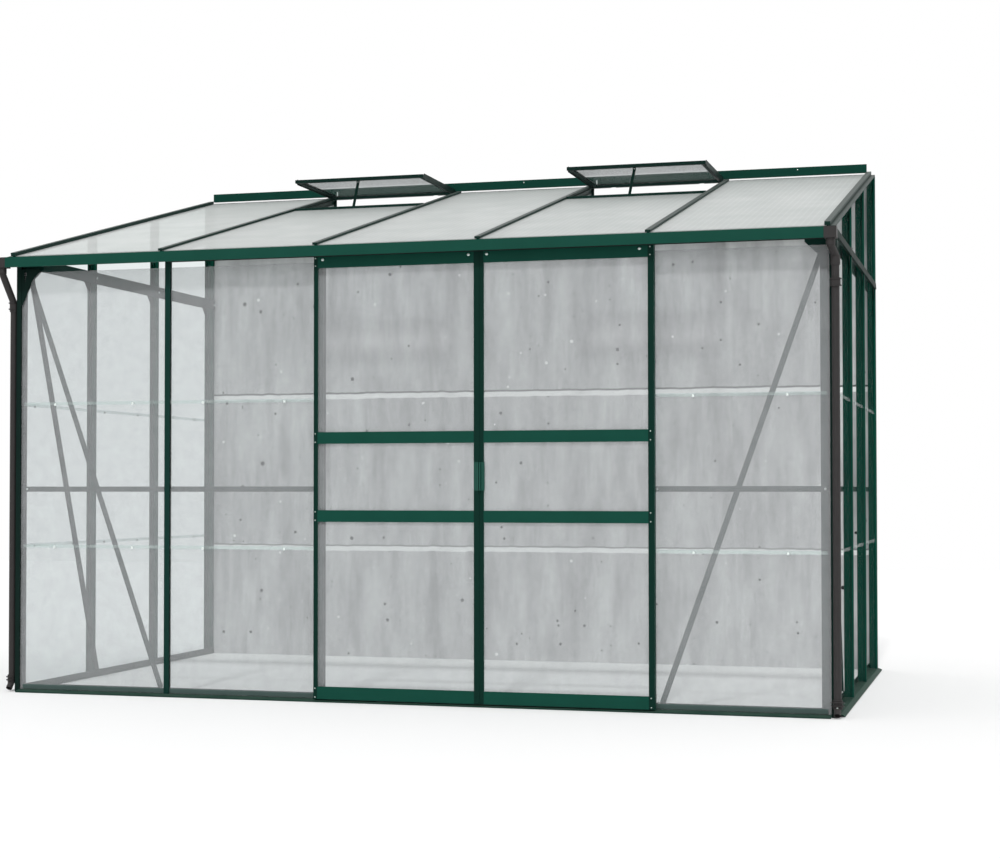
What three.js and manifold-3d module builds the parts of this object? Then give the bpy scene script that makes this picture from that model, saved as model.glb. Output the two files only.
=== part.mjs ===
// A lean to greenhouse of powder coated aluminium bars, five bays wide and three deep.
// It has a pair of hanging sliding doors in front and two top hung vents in the roof.
// Millimetres, +Z up, +X to the right along the front, +Y back to the house wall.
// The model is laid out from the front left bay line, and moved to its own centre at the end.

import * as THREE from "three";
import { mergeVertices } from "three/addons/utils/BufferGeometryUtils.js";
import Module from "manifold-3d";

const wasm = await Module();
wasm.setup();

// Bays: bar to bar, measured on the bay lines
const bay = 620;
const baysWide = 5;
const baysDeep = 3;
const width = bay * baysWide;
const depth = bay * baysDeep;
const firstDoorBay = 2;
const doorBays = 2;
const ventBays = [1, 3];

// Gaps
const fit = 0.3;
const seal = 1;

// Panes: clear glass lapped like shingles on the walls, and thicker milky sheets on the roof
const glass = 3;
const glassZone = 2 * glass;
const lap = 12;
const lapStep = 0.1;
const paneEdge = 4;
const lowerJoint = 562;
const upperJoint = 1113;
const roofSheet = 4;

// Wall bars: an I section with an outer cap, a seat for the panes and a rear foot
const barWidth = 21;
const barCap = 7;
const barWeb = 5;
const barSeat = 3;
const barFoot = 16;
const wallDepth = 27;
const barOut = seal + barCap;
const barDepth = barOut + wallDepth;
const paneSlot = glassZone + 2 * seal;
const shortBarDepth = barCap + paneSlot + barSeat;

// End walls stand a little outside the end bay lines
const endOut = 17;
const endFace = endOut + barOut;
const endInside = wallDepth - endOut;

// Corner and wall posts: a core behind the glass corner, and covers that lap over both panes
const postCore = 4;
const postLap = 5;
const postWall = 3;
const postStep = 5;
const postBevel = 7.5;
const postBevelBack = 10;
const behindEnd = -endOut + glassZone + seal;
const behindFront = glassZone + seal;
const coreX = behindEnd + postCore;
const coreY = behindFront + postCore;
const wallReach = 25;
const rear = depth + wallReach;

// Sills: a folded section with a sloping outer ledge and an inner upstand
const sillReachFront = 40;
const sillReachEnd = 25;
const sillEdge = 4;
const sillLedge = 9.5;
const sillWall = 2.5;
const sillLip = 3;
const sillUpstand = 29;

// Roof
const roofPitchDegrees = 13.66;
const roofPitch = THREE.MathUtils.degToRad(roofPitchDegrees);
const rafterTop = 1711;
const rafterWidth = 20;
const rafterCap = 8;
const rafterDepth = 36;
const sheetSlot = roofSheet + 2 * seal;
const rafterSeat = rafterCap + sheetSlot + barSeat;
const vergeRise = 5;
const vergeShoulder = 10;

// Gutter, door track and eaves beam in one extrusion. The heights count down from the rafters' top faces
const gutterReach = 85;
const gutterBack = 41;
const gutterDrop = 30.4;
const gutterHigh = 39.6;
const gutterWall = 2.5;
const gutterSkirt = 5.5;
const trackDrop = 4.6;
const trackLedge = 5.5;
const headClear = 2;
const headRearClear = 1.5;
const headLift = 15;
const gutterLeft = 30;
const gutterRightStop = 12;
const gutterTop = rafterTop - gutterDrop;
const gutterFoot = gutterTop - gutterHigh;
const gutterFloor = gutterFoot + gutterSkirt;
const trackTop = gutterTop - trackDrop;
const trackBack = gutterBack - gutterWall;
const trackLip = trackBack - trackLedge;
const headFront = barOut + headClear + gutterWall;
const headBack = wallDepth + headRearClear + gutterWall;
const headFoot = gutterFoot + headLift;
const frontPaneDrop = 13;

// Rafters and sheets end inside the gutter
const rafterShort = 10;
const sheetShort = 9;
const rafterOverhang = gutterReach - rafterShort;
const sheetOverhang = rafterOverhang - sheetShort;

// Blocks that cut run this far past what they cut
const overrun = gutterReach / 2;

// Wall plate at the ridge: a channel whose legs hang down to the rafters
const plateHigh = 37.5;
const plateReach = 13;
const plateWall = 3;
const plateFront = rear - plateReach;

// Braces, rails and corner plates inside the frame
const railHigh = 20;
const railThick = 3;
const railHeight = 784;
const braceWide = 20;
const braceTopIn = 23;
const braceTopDrop = 20;
const braceFootIn = 25;
const braceMerge = 0.3;
const braceFlange = 18;
const gussetHigh = 103;
const gussetLong = 76;
const gussetKneeIn = 30;
const gussetKneeDrop = 44;
const postStrip = 24;
const endRailHigh = 49;
const endRailLift = 4;
const endRailFoot = gutterFoot + endRailLift;
const endBraceTopIn = 5;
const endBraceTopUp = 5;

// Doors
const doorSideLap = 15.5;
const doorMeet = 0.5;
const doorMeetOff = 1.75;
const doorThick = 20;
const doorUnder = 1.5;
const doorUnderTrack = 1.5;
const stileLeft = 14.5;
const stileRight = 21.5;
const bottomRailHigh = 46;
const topRailHigh = 43;
const lowerRailFoot = 663;
const upperRailFoot = 951;
const midRailHigh = 43;
const doorPaneIn = 8;
const doorPaneBack = 12;

// Door rollers and their hangers: the hanger passes in front of the track's lip
const rollerRadius = 11;
const rollerThick = 4.5;
const rollerPin = 3;
const rollerBore = rollerPin + fit;
const rollerIn = 40;
const rollerSideGap = 0.5;
const rollerBack = trackBack - rollerSideGap - rollerThick;
const hangerWide = 30;
const hangerThick = 3;
const hangerGap = 1.5;
const hangerBack = trackLip - hangerGap - hangerThick;
const hangerRise = 8;
const hangerMerge = 2;
const doorPastHanger = 3.5;
const doorFront = hangerBack + hangerThick + doorPastHanger;
const doorLeaf = (doorBays * bay) / 2 + doorSideLap;
const doorBottom = sillLedge + doorUnder;
const doorTop = gutterFloor - doorUnderTrack;
const bottomRailTop = doorBottom + bottomRailHigh;
const topRailFoot = doorTop - topRailHigh;

// Door handles
const handleFoot = 778.5;
const handleHigh = 102.5;
const handleWide = 18;
const handlePlate = 3;
const handleReach = 13;
const handleFin = 4;

// Roof vents
const ventSideGap = 12;
const ventWidth = bay - 2 * ventSideGap;
const ventLength = 525;
const ventRail = 20;
const ventBelow = 8;
const ventAbove = 6;
const ventSideUp = 12;
const ventSideDown = 12;
const ventSideThick = 3;
const ventSideSetBack = 25;
const ventRearDown = 11;
const ventOpenDegrees = 13.5;
const ventHingeDown = 3;
const ventBehind = 6;
const ventPaneIn = 12;
const ventPaneUp = 8;
const ventPaneRearIn = 3;
const ventPaneSlack = 0.5;
const hingeBeforePlate = 14.35;
const hingePin = 3;
const hingeBore = hingePin + fit;
const hingeLug = 20;
const hingeNotch = hingeLug + 2 * seal;
const hingeFromMiddle = 200;
const hingeLugRound = 7;

// Vent sills and stays
const ventSillBefore = 12;
const ventSillFront = 12;
const ventSillBack = 12;
const ventSillWall = 4;
const ventSillRise = 2;
const ventSillFoot = 27;
const stayLength = 118;
const stayWide = 12;
const stayThick = 3;
const stayPin = 2.5;
const stayBore = stayPin + fit;
const stayDrop = 12;
const stayEar = 4;
const stayLean = 11.5;
const stayFromMiddle = 8;

// Downpipes
const pipeRadius = 13.5;
const pipeWall = 2;
const pipeFoot = 32;
const pastMouth_share = 1.6;
const collarWall = 3;
const collarHigh = 32;
const shoeRibOut = 3.5;
const shoeRibs = 3;
const shoeRib = 7;
const shoeRibGap = 5;
const shoeNozzle = 24;
const shoeNozzleRadius = 12;
const outletWide = 43;
const outletWall = 3;
const spigotWall = 2.5;
const spigotHigh = 22;
const leftPipeOff = 1;
const leftPipeBack = 16;
const leftPipeDrop = 133;
const rightPipeIn = 3;
const rightPipeOff = 1.5;
const rightPipeDrop = 55;
const leftPipe = {
  x: -(endFace + pipeRadius + leftPipeOff),
  y: leftPipeBack - barOut,
  bend: gutterFoot - leftPipeDrop,
};
const rightPipe = {
  x: width + endFace - rightPipeIn,
  y: -(barOut + pipeRadius + rightPipeOff),
  bend: gutterFoot - rightPipeDrop,
};

// Finishes
const finishes = {
  green: [0x1f4c42, 0.45, 0.3],
  sillGreen: [0x36524a, 0.5, 0.3],
  rafterGreen: [0x36443f, 0.45, 0.3],
  clear: [0xdfe8e6, 0.08, 0],
  milky: [0xc9cfce, 0.3, 0],
  anthracite: [0x3c3e3d, 0.55, 0],
  nylon: [0x2a2c2b, 0.5, 0],
  handleGreen: [0x24574b, 0.4, 0],
};

// Plain helpers for geometry
function tidy(geometry) {
  const plain = geometry.index ? geometry.toNonIndexed() : geometry.clone();
  plain.deleteAttribute("normal");
  plain.deleteAttribute("uv");
  return mergeVertices(plain);
}

function toSolid(geometry) {
  const merged = tidy(geometry);
  return new wasm.Manifold(
    new wasm.Mesh({
      numProp: 3,
      vertProperties: merged.attributes.position.array,
      triVerts: new Uint32Array(merged.index.array),
    }),
  );
}

function toGeometry(solid) {
  const mesh = solid.getMesh();
  const geometry = new THREE.BufferGeometry();
  geometry.setAttribute("position", new THREE.BufferAttribute(mesh.vertProperties, 3));
  geometry.setIndex(new THREE.BufferAttribute(mesh.triVerts, 1));
  const flat = geometry.toNonIndexed();
  flat.computeVertexNormals();
  return flat;
}

function join(first, ...others) {
  return toGeometry(others.reduce((sum, next) => sum.add(toSolid(next)), toSolid(first)));
}

function cut(body, ...tools) {
  return toGeometry(tools.reduce((rest, tool) => rest.subtract(toSolid(tool)), toSolid(body)));
}

function block([x0, x1], [y0, y1], [z0, z1]) {
  const box = new THREE.BoxGeometry(x1 - x0, y1 - y0, z1 - z0);
  return box.translate((x0 + x1) / 2, (y0 + y1) / 2, (z0 + z1) / 2);
}

function wound(points, clockwise) {
  const path = points.map(([a, b]) => new THREE.Vector2(a, b));
  return THREE.ShapeUtils.isClockWise(path) === clockwise ? path : path.reverse();
}

function outlineShape(points, holes = []) {
  const shape = new THREE.Shape(wound(points, false));
  for (const hole of holes) shape.holes.push(new THREE.Path(wound(hole, true)));
  return shape;
}

function extruded(points, length, holes) {
  return new THREE.ExtrudeGeometry(outlineShape(points, holes), { depth: length, bevelEnabled: false });
}

// Outline in X and Y, run up from z0 to z1
function alongZ(points, z0, z1, holes) {
  return extruded(points, z1 - z0, holes).translate(0, 0, z0);
}

// Outline in Y and Z, run from x0 to x1
function alongX(points, x0, x1, holes) {
  const turn = new THREE.Matrix4().makeBasis(
    new THREE.Vector3(0, 1, 0),
    new THREE.Vector3(0, 0, 1),
    new THREE.Vector3(1, 0, 0),
  );
  return extruded(points, x1 - x0, holes).applyMatrix4(turn).translate(x0, 0, 0);
}

// Outline in X and Z, run from y0 to y1
function alongY(points, y0, y1, holes) {
  const turn = new THREE.Matrix4().makeBasis(
    new THREE.Vector3(1, 0, 0),
    new THREE.Vector3(0, 0, 1),
    new THREE.Vector3(0, -1, 0),
  );
  return extruded(points, y1 - y0, holes).applyMatrix4(turn).translate(0, y1, 0);
}

function rectangle([a0, a1], [b0, b1]) {
  return [
    [a0, b0],
    [a1, b0],
    [a1, b1],
    [a0, b1],
  ];
}

function mirrored(points) {
  return points.map(([a, b]) => [width - a, b]);
}

// A round bar between two points
function rod(from, to, radius, sides) {
  const start = new THREE.Vector3(...from);
  const end = new THREE.Vector3(...to);
  const way = end.clone().sub(start);
  const cylinder = new THREE.CylinderGeometry(radius, radius, way.length(), sides);
  const turn = new THREE.Quaternion().setFromUnitVectors(new THREE.Vector3(0, 1, 0), way.clone().normalize());
  const middle = start.clone().add(end).multiplyScalar(1 / 2);
  return cylinder.applyQuaternion(turn).translate(middle.x, middle.y, middle.z);
}

const roundSides = 24;
const pinSides = 16;

// The group that is moved to the centre of the greenhouse
const greenhouse = new THREE.Group();
const frame = new THREE.Group();
greenhouse.add(frame);

function piece(name, geometry, finish, parent = frame) {
  const [color, roughness, metalness] = finishes[finish];
  const material = new THREE.MeshStandardMaterial({ color, roughness, metalness });
  const mesh = new THREE.Mesh(geometry, material);
  mesh.name = name;
  parent.add(mesh);
  return mesh;
}

// The roof frame: x along the ridge, y up the slope, z square to the rafters' top faces
const roof = new THREE.Group();
roof.position.z = rafterTop;
roof.rotation.x = roofPitch;
roof.updateMatrix();
frame.add(roof);

function roofHeight(y, above) {
  return rafterTop + y * Math.tan(roofPitch) + above / Math.cos(roofPitch);
}

function upSlope(y, above = 0) {
  return (y + above * Math.sin(roofPitch)) / Math.cos(roofPitch);
}

// The hinge line of the vents lies in front of the wall plate. The vent sills follow from it
const ventHingeAlong = upSlope(plateFront - hingeBeforePlate, -ventHingeDown);
const ventSillAlong = ventHingeAlong - ventLength - ventSillBefore;
const plateFoot = roofHeight(plateFront + plateWall, fit);
const plateTop = plateFoot + plateHigh;

const underRoof = -(rafterSeat + fit);
const aboveWalls = block(
  [-gutterReach, width + gutterReach],
  [-gutterReach, depth + gutterReach + overrun],
  [underRoof, rafterTop],
).applyMatrix4(roof.matrix);

// Glazing bar outline: u across the bar, n out from the glass, top is the cap's outer face
function barOutline(top, cap, slot, deep, wide) {
  const half = wide / 2;
  const web = barWeb / 2;
  const foot = barFoot / 2;
  const seat = top - cap - slot;
  const side = [
    [half, top],
    [half, top - cap],
    [web, top - cap],
    [web, seat],
    [half, seat],
    [half, seat - barSeat],
  ];
  if (deep > cap + slot + barSeat) {
    const footTop = top - deep + barSeat;
    side.push([web, seat - barSeat], [web, footTop], [foot, footTop], [foot, top - deep]);
  }
  const back = side.map(([u, n]) => [-u, n]).reverse();
  return side.concat(back);
}

// Sills
function sillOutline(reach) {
  const upright = -(wallDepth + seal);
  const under = sillLedge - sillWall;
  return [
    [reach, 0],
    [reach, sillEdge],
    [barOut + seal, sillLedge],
    [upright, sillLedge],
    [upright, sillUpstand],
    [upright - sillWall, sillUpstand],
    [upright - sillWall, 0],
    [upright, 0],
    [upright, under],
    [barOut + seal, under],
    [reach - sillLip, sillEdge - sillWall],
    [reach - sillLip, 0],
  ];
}

const sillBack = wallDepth + seal + sillWall;

function makeSills() {
  const front = alongX(
    sillOutline(sillReachFront).map(([n, z]) => [-n, z]),
    0,
    width,
  );
  const postZone = [-barOut - fit, wallDepth + overrun];
  const tall = [-overrun, sillUpstand + overrun];
  const leftNotch = block([-overrun, endInside + fit], postZone, tall);
  const rightNotch = block([width - endInside - fit, width + overrun], postZone, tall);
  piece("sill_front", cut(front, leftNotch, rightNotch), "sillGreen");
  const end = sillOutline(sillReachEnd).map(([n, z]) => [-endOut - n, z]);
  piece("sill_left", alongY(end, sillBack + fit, rear), "sillGreen");
  piece("sill_right", alongY(mirrored(end), sillBack + fit, rear), "sillGreen");
}

// Corner posts, with a slot for a front pane and a slot for an end pane
function makeCornerPosts() {
  const outer = -endFace;
  const front = -barOut;
  const coverX = coreX + seal + postLap;
  const coverY = coreY + seal + postLap;
  const outline = [
    [outer + postBevel, front],
    [coverX, front],
    [coverX, -seal],
    [coreX, -seal],
    [coreX, behindFront],
    [endInside, behindFront],
    [endInside, wallDepth],
    [behindEnd, wallDepth],
    [behindEnd, coreY],
    [outer + barCap, coreY],
    [outer + barCap, coverY],
    [outer, coverY],
    [outer, front + postBevelBack],
  ];
  const hollow = rectangle(
    [behindEnd + postWall, endInside - postWall],
    [behindFront + postWall, wallDepth - postWall],
  );
  const top = roofHeight(front, underRoof - gutterWall) - seal;
  piece("corner_post_left", alongZ(outline, 0, top, [hollow]), "green");
  piece("corner_post_right", alongZ(mirrored(outline), 0, top, [mirrored(hollow)]), "green");
}

// Posts that stand against the house wall
function makeWallPosts() {
  const outer = -endFace;
  const line = depth - barWidth / 2;
  const outline = [
    [outer, line],
    [outer + barCap, line],
    [outer + barCap, depth - barWeb / 2],
    [behindEnd, depth - barWeb / 2],
    [behindEnd, line],
    [behindEnd + barSeat, line],
    [behindEnd + barSeat, depth + postStep],
    [endInside, depth + postStep],
    [endInside, rear],
    [outer, rear],
  ];
  const hollow = rectangle(
    [outer + postWall, endInside - postWall],
    [depth + postStep + postWall, rear - postWall],
  );
  const foot = sillLedge + fit;
  const left = cut(alongZ(outline, foot, plateTop, [hollow]), aboveWalls);
  const right = cut(alongZ(mirrored(outline), foot, plateTop, [mirrored(hollow)]), aboveWalls);
  piece("wall_post_left", left, "green");
  piece("wall_post_right", right, "green");
}

// Upright bars of the front and of both end walls
function makeWallBars() {
  const foot = sillLedge + fit;
  const headUnder = roofHeight(-barOut, underRoof - gutterWall) - seal;
  const deepBar = barOutline(barOut, barCap, paneSlot, barDepth, barWidth);
  const shortBar = barOutline(barOut, barCap, paneSlot, shortBarDepth, barWidth);
  const frontBar = (outline, x) =>
    alongZ(
      outline.map(([u, n]) => [x + u, -n]),
      foot,
      headUnder,
    );
  piece("front_bar", frontBar(shortBar, bay), "green");
  piece("door_jamb_left", frontBar(deepBar, firstDoorBay * bay), "green");
  piece("door_jamb_right", frontBar(deepBar, (firstDoorBay + doorBays) * bay), "green");
  for (let line = 1; line < baysDeep; line += 1) {
    const outline = deepBar.map(([u, n]) => [-endOut - n, line * bay + u]);
    const left = cut(alongZ(outline, foot, plateTop), aboveWalls);
    const right = cut(alongZ(mirrored(outline), foot, plateTop), aboveWalls);
    piece(`end_bar_left_${line}`, left, "green");
    piece(`end_bar_right_${line}`, right, "green");
  }
}

// Panes: each bay's panes lap at the joints, the upper one outside the lower one
function lappedOutline(bottom, joints, top) {
  const outside = [[0, bottom]];
  const inside = [];
  for (const joint of joints) {
    outside.push([lapStep - glass, joint - lap / 2], [0, joint - lap / 2]);
    inside.unshift([-glassZone, joint + lap / 2], [-glass - lapStep, joint + lap / 2]);
  }
  outside.push([-glass, top]);
  const closing = [[-glassZone, top]];
  for (let i = 0; i < inside.length; i += 2) closing.push(inside[i + 1], inside[i]);
  closing.push([-glass, bottom]);
  return outside.concat(closing);
}

function makeFrontPanes() {
  const bottom = sillLedge + fit;
  const top = gutterFoot - frontPaneDrop;
  const section = lappedOutline(bottom, [lowerJoint, upperJoint], top).map(([n, z]) => [-n, z]);
  const cornerEdge = coreX + seal;
  for (let i = 0; i < baysWide; i += 1) {
    if (i >= firstDoorBay && i < firstDoorBay + doorBays) continue;
    const left = i === 0 ? cornerEdge : i * bay + paneEdge;
    const right = i === baysWide - 1 ? width - cornerEdge : (i + 1) * bay - paneEdge;
    piece(`front_pane_${i + 1}`, alongX(section, left, right), "clear");
  }
}

function makeEndPanes() {
  const bottom = sillLedge + fit;
  const joints = [lowerJoint, upperJoint, endRailFoot + endRailHigh / 2];
  const cornerEdge = coreY + seal;
  const section = lappedOutline(bottom, joints, plateTop).map(([n, z]) => [-endOut - n, z]);
  for (let i = 0; i < baysDeep; i += 1) {
    const near = i === 0 ? cornerEdge : i * bay + paneEdge;
    const far = (i + 1) * bay - paneEdge;
    piece(`end_pane_left_${i + 1}`, cut(alongY(section, near, far), aboveWalls), "clear");
    piece(`end_pane_right_${i + 1}`, cut(alongY(mirrored(section), near, far), aboveWalls), "clear");
  }
}

// The gutter, the door track under it and the eaves beam behind it are one extrusion
function makeGutter() {
  const top = (y) => roofHeight(y, underRoof);
  const inner = (y) => roofHeight(y, underRoof - gutterWall);
  const floor = gutterFloor + gutterWall;
  const outline = [
    [-gutterReach, gutterTop],
    [-gutterReach, gutterFoot],
    [-gutterReach + gutterWall, gutterFoot],
    [-gutterReach + gutterWall, gutterFloor],
    [-trackLip, gutterFloor],
    [-trackLip, floor],
    [-trackBack, floor],
    [-trackBack, trackTop - gutterWall],
    [-headFront, trackTop - gutterWall],
    [-headFront, headFoot],
    [-headFront + gutterWall, headFoot],
    [-headFront + gutterWall, inner(-headFront + gutterWall)],
    [headBack - gutterWall, inner(headBack - gutterWall)],
    [headBack - gutterWall, headFoot],
    [headBack, headFoot],
    [headBack, top(headBack)],
    [-headFront, top(-headFront)],
    [-headFront, trackTop],
    [-gutterBack, trackTop],
    [-gutterBack, floor],
    [-gutterReach + gutterWall, floor],
    [-gutterReach + gutterWall, gutterTop],
  ];
  const right = width + endFace;
  const whole = alongX(outline, -gutterLeft, right);
  const outletRoom = block(
    [width - gutterRightStop, right + overrun],
    [-gutterReach - overrun, -headFront - fit],
    [gutterFoot - overrun, gutterTop + overrun],
  );
  const tall = [headFoot - overrun, top(headBack) + overrun];
  const leftPaneRoom = block([-gutterLeft - overrun, behindEnd], [coreY, headBack + overrun], tall);
  const rightPaneRoom = block([width - behindEnd, right + overrun], [coreY, headBack + overrun], tall);
  piece("gutter_and_eaves_beam", cut(whole, outletRoom, leftPaneRoom, rightPaneRoom), "green");
}

// Rafters: a notch at the foot lets each one sit on the eaves beam
function makeRafters() {
  const lower = upSlope(-rafterOverhang);
  const upper = upSlope(rear - plateWall - fit, -rafterDepth);
  const outline = barOutline(0, rafterCap, sheetSlot, rafterDepth, rafterWidth);
  const notch = block(
    [-overrun, width + overrun],
    [lower - overrun, upSlope(headBack + fit)],
    [-rafterDepth - overrun, underRoof + fit],
  );
  for (let i = 1; i < baysWide; i += 1) {
    const run = alongY(
      outline.map(([u, n]) => [i * bay + u, n]),
      lower,
      upper,
    );
    piece(`rafter_${i + 1}`, cut(run, notch), "rafterGreen", roof);
  }
  const half = rafterWidth / 2;
  const web = barWeb / 2;
  const seat = -(rafterCap + sheetSlot);
  const verge = [
    [-half, vergeRise],
    [half, vergeRise],
    [half, -rafterCap],
    [web, -rafterCap],
    [web, seat],
    [half, seat],
    [half, -rafterSeat],
    [-endFace, -rafterSeat],
    [-endFace, -vergeShoulder],
    [-web, -vergeShoulder],
    [-web, -rafterCap],
    [-half, -rafterCap],
  ];
  piece("rafter_1", alongY(verge, lower, upper), "rafterGreen", roof);
  piece(`rafter_${baysWide + 1}`, alongY(mirrored(verge), lower, upper), "rafterGreen", roof);
}

// Roof sheets: the vent bays have a short one that stops at the vent sill
function makeRoofSheets() {
  const low = -(rafterCap + seal + roofSheet);
  for (let i = 0; i < baysWide; i += 1) {
    const vented = ventBays.includes(i);
    const top = vented ? ventSillAlong - fit : upSlope(rear - plateWall - seal, low);
    const sheet = block(
      [i * bay + paneEdge, (i + 1) * bay - paneEdge],
      [upSlope(-sheetOverhang), top],
      [low, low + roofSheet],
    );
    piece(`roof_sheet_${i + 1}`, sheet, "milky", roof);
  }
}

// The hinge line of the vents, in the greenhouse's own directions
const ventAxis = new THREE.Vector3(0, ventHingeAlong, -ventHingeDown).applyMatrix4(roof.matrix);

// Wall plate: a folded cover that is screwed to the house wall and carries the vent hinges
function makeWallPlate() {
  const back = rear - plateWall;
  const outline = [
    [plateFront, plateFoot],
    [plateFront + plateWall, plateFoot],
    [plateFront + plateWall, plateTop - plateWall],
    [back, plateTop - plateWall],
    [back, plateFoot],
    [rear, plateFoot],
    [rear, plateTop],
    [plateFront, plateTop],
  ];
  const cover = alongX(outline, endInside + fit, width - endInside - fit);
  const lugs = [];
  const bores = [];
  for (const i of ventBays) {
    for (const side of [-1, 1]) {
      const x = (i + 1 / 2) * bay + side * hingeFromMiddle;
      const across = [x - hingeLug / 2, x + hingeLug / 2];
      lugs.push(block(across, [ventAxis.y, plateFront + plateWall], [plateFoot - hingeLugRound, plateFoot + fit]));
      const onAxis = (place) => [place, ventAxis.y, ventAxis.z];
      lugs.push(rod(onAxis(across[0]), onAxis(across[1]), hingeLugRound, roundSides));
      bores.push(rod(onAxis(across[0] - seal), onAxis(across[1] + seal), hingeBore, pinSides));
    }
  }
  piece("wall_plate", cut(join(cover, ...lugs), ...bores), "green");
}

// A flat bar between two points of an upright plane, given across and up
function strap([a0, z0], [a1, z1], wide) {
  const long = Math.hypot(a1 - a0, z1 - z0);
  const across = [((z0 - z1) / long) * (wide / 2), ((a1 - a0) / long) * (wide / 2)];
  return [
    [a0 - across[0], z0 - across[1]],
    [a1 - across[0], z1 - across[1]],
    [a1 + across[0], z1 + across[1]],
    [a0 + across[0], z0 + across[1]],
  ];
}

// Front bracing: a mid rail, a diagonal and the corner plate that the diagonal hangs from.
// On the right a flat strip runs up beside the corner post as well
function makeFrontBracing() {
  const railFront = glassZone + seal + barSeat + fit;
  const braceFront = railFront + railThick - braceMerge;
  const low = sillLedge + fit;
  const high = roofHeight(-barOut, underRoof - gutterWall) - seal;
  const railSpan = [railHeight - railHigh / 2, railHeight + railHigh / 2];
  const layer = (points) => alongY(points, braceFront, braceFront + railThick);
  const rail = (x0, x1) => block([x0, x1], [railFront, railFront + railThick], railSpan);
  const trim = (geometry) => cut(geometry, block([0, width], [0, bay], [low - bay, low]));
  const inner = endInside + fit;
  const plate = [
    [inner, high],
    [inner, gutterFoot - gussetHigh],
    [inner + gussetKneeIn, gutterFoot - gussetKneeDrop],
    [inner + gussetLong, gutterFoot],
    [inner + gussetLong, high],
  ];
  const diagonal = strap([braceTopIn, gutterFoot - braceTopDrop], [bay - braceFootIn, low], braceWide);
  const left = join(rail(inner, firstDoorBay * bay - barWeb / 2 - fit), layer(diagonal), layer(plate));
  piece("bracing_front_left", trim(left), "green");
  const right = join(
    rail((firstDoorBay + doorBays) * bay + barWeb / 2 + fit, width - inner),
    layer(mirrored(diagonal)),
    layer(mirrored(plate)),
    layer(rectangle([width - inner - postStrip, width - inner], [low, high])),
  );
  piece("bracing_front_right", trim(right), "green");
}

// End bracing: a mid rail, an eaves rail and a diagonal, bolted inside the end bars
function makeEndBracing() {
  const face = endInside + fit;
  const braceFace = face + railThick - braceMerge;
  const near = headBack + fit;
  const far = rear;
  const low = sillUpstand + fit;
  const top = [near - endBraceTopIn, endRailFoot + endBraceTopUp];
  const foot = [bay, low];
  const diagonal = alongX(strap(top, foot, braceWide), braceFace, braceFace + railThick);
  const flange = alongX(strap(top, foot, railThick), braceFace, braceFace + braceFlange);
  const rail = (base, high) => block([face, face + railThick], [near, far], [base, base + high]);
  const rails = [rail(railHeight - railHigh / 2, railHigh), rail(endRailFoot, endRailHigh)];
  const joined = join(...rails, diagonal, flange);
  const left = cut(joined, block([0, bay], [0, depth], [low - bay, low]));
  const right = left.clone().applyMatrix4(new THREE.Matrix4().makeScale(-1, 1, 1)).translate(width, 0, 0);
  piece("bracing_end_left", left, "green");
  piece("bracing_end_right", flipped(right), "green");
}

// Turns every face of a mirrored geometry round, so that it faces out again
function flipped(geometry) {
  const place = geometry.getAttribute("position");
  for (let i = 0; i < place.count; i += 3) {
    const [x, y, z] = [place.getX(i), place.getY(i), place.getZ(i)];
    place.setXYZ(i, place.getX(i + 1), place.getY(i + 1), place.getZ(i + 1));
    place.setXYZ(i + 1, x, y, z);
  }
  geometry.computeVertexNormals();
  return geometry;
}

// Doors: a leaf is a frame with three lights, a pane behind its mid rails, two rollers and a handle
const railTop = gutterFloor + gutterWall;
const rollerHeight = railTop + fit + rollerRadius;

function makeDoor(side, x0, meetsRight) {
  const x1 = x0 + doorLeaf;
  const y0 = -doorFront;
  const y1 = y0 + doorThick;
  const paneFace = y1 - doorPaneBack;
  const lights = [
    [bottomRailTop, lowerRailFoot],
    [lowerRailFoot + midRailHigh, upperRailFoot],
    [upperRailFoot + midRailHigh, topRailFoot],
  ];
  const leaf = block([x0, x1], [y0, y1], [doorBottom, doorTop]);
  const clear = [x0 + stileLeft, x1 - stileRight];
  const openings = lights.map((light) => block(clear, [y0 - overrun, y1 + overrun], light));
  const paneSpan = [x0 + doorPaneIn, x1 - doorPaneIn];
  const paneRise = [bottomRailTop - doorPaneIn, topRailFoot + doorPaneIn];
  const rebate = block(paneSpan, [paneFace, y1 + overrun], paneRise);
  const hangers = [];
  const rollers = [x0 + rollerIn, x1 - rollerIn];
  const pinBack = -(rollerBack + rollerThick);
  for (const x of rollers) {
    const across = [x - hangerWide / 2, x + hangerWide / 2];
    const thick = [-(hangerBack + hangerThick), -hangerBack];
    hangers.push(block(across, thick, [doorTop - hangerMerge, rollerHeight + hangerRise]));
    hangers.push(rod([x, -hangerBack, rollerHeight], [x, pinBack, rollerHeight], rollerPin, pinSides));
  }
  piece(`door_frame_${side}`, join(cut(leaf, ...openings, rebate), ...hangers), "green");
  const slack = (span) => [span[0] + fit, span[1] - fit];
  const pane = block(slack(paneSpan), [paneFace + fit, paneFace + fit + glass], slack(paneRise));
  piece(`door_pane_${side}`, pane, "clear");
  rollers.forEach((x, i) => makeRoller(`roller_${side}_${i + 1}`, x));
  makeHandle(side, meetsRight ? x1 - handleWide - seal : x0 + seal, meetsRight);
}

function makeRoller(name, x) {
  const front = -(rollerBack + rollerThick);
  const wheel = rod([x, front, rollerHeight], [x, -rollerBack, rollerHeight], rollerRadius, roundSides);
  const bore = rod([x, front - seal, rollerHeight], [x, seal - rollerBack, rollerHeight], rollerBore, pinSides);
  piece(name, cut(wheel, bore), "nylon");
}

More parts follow.
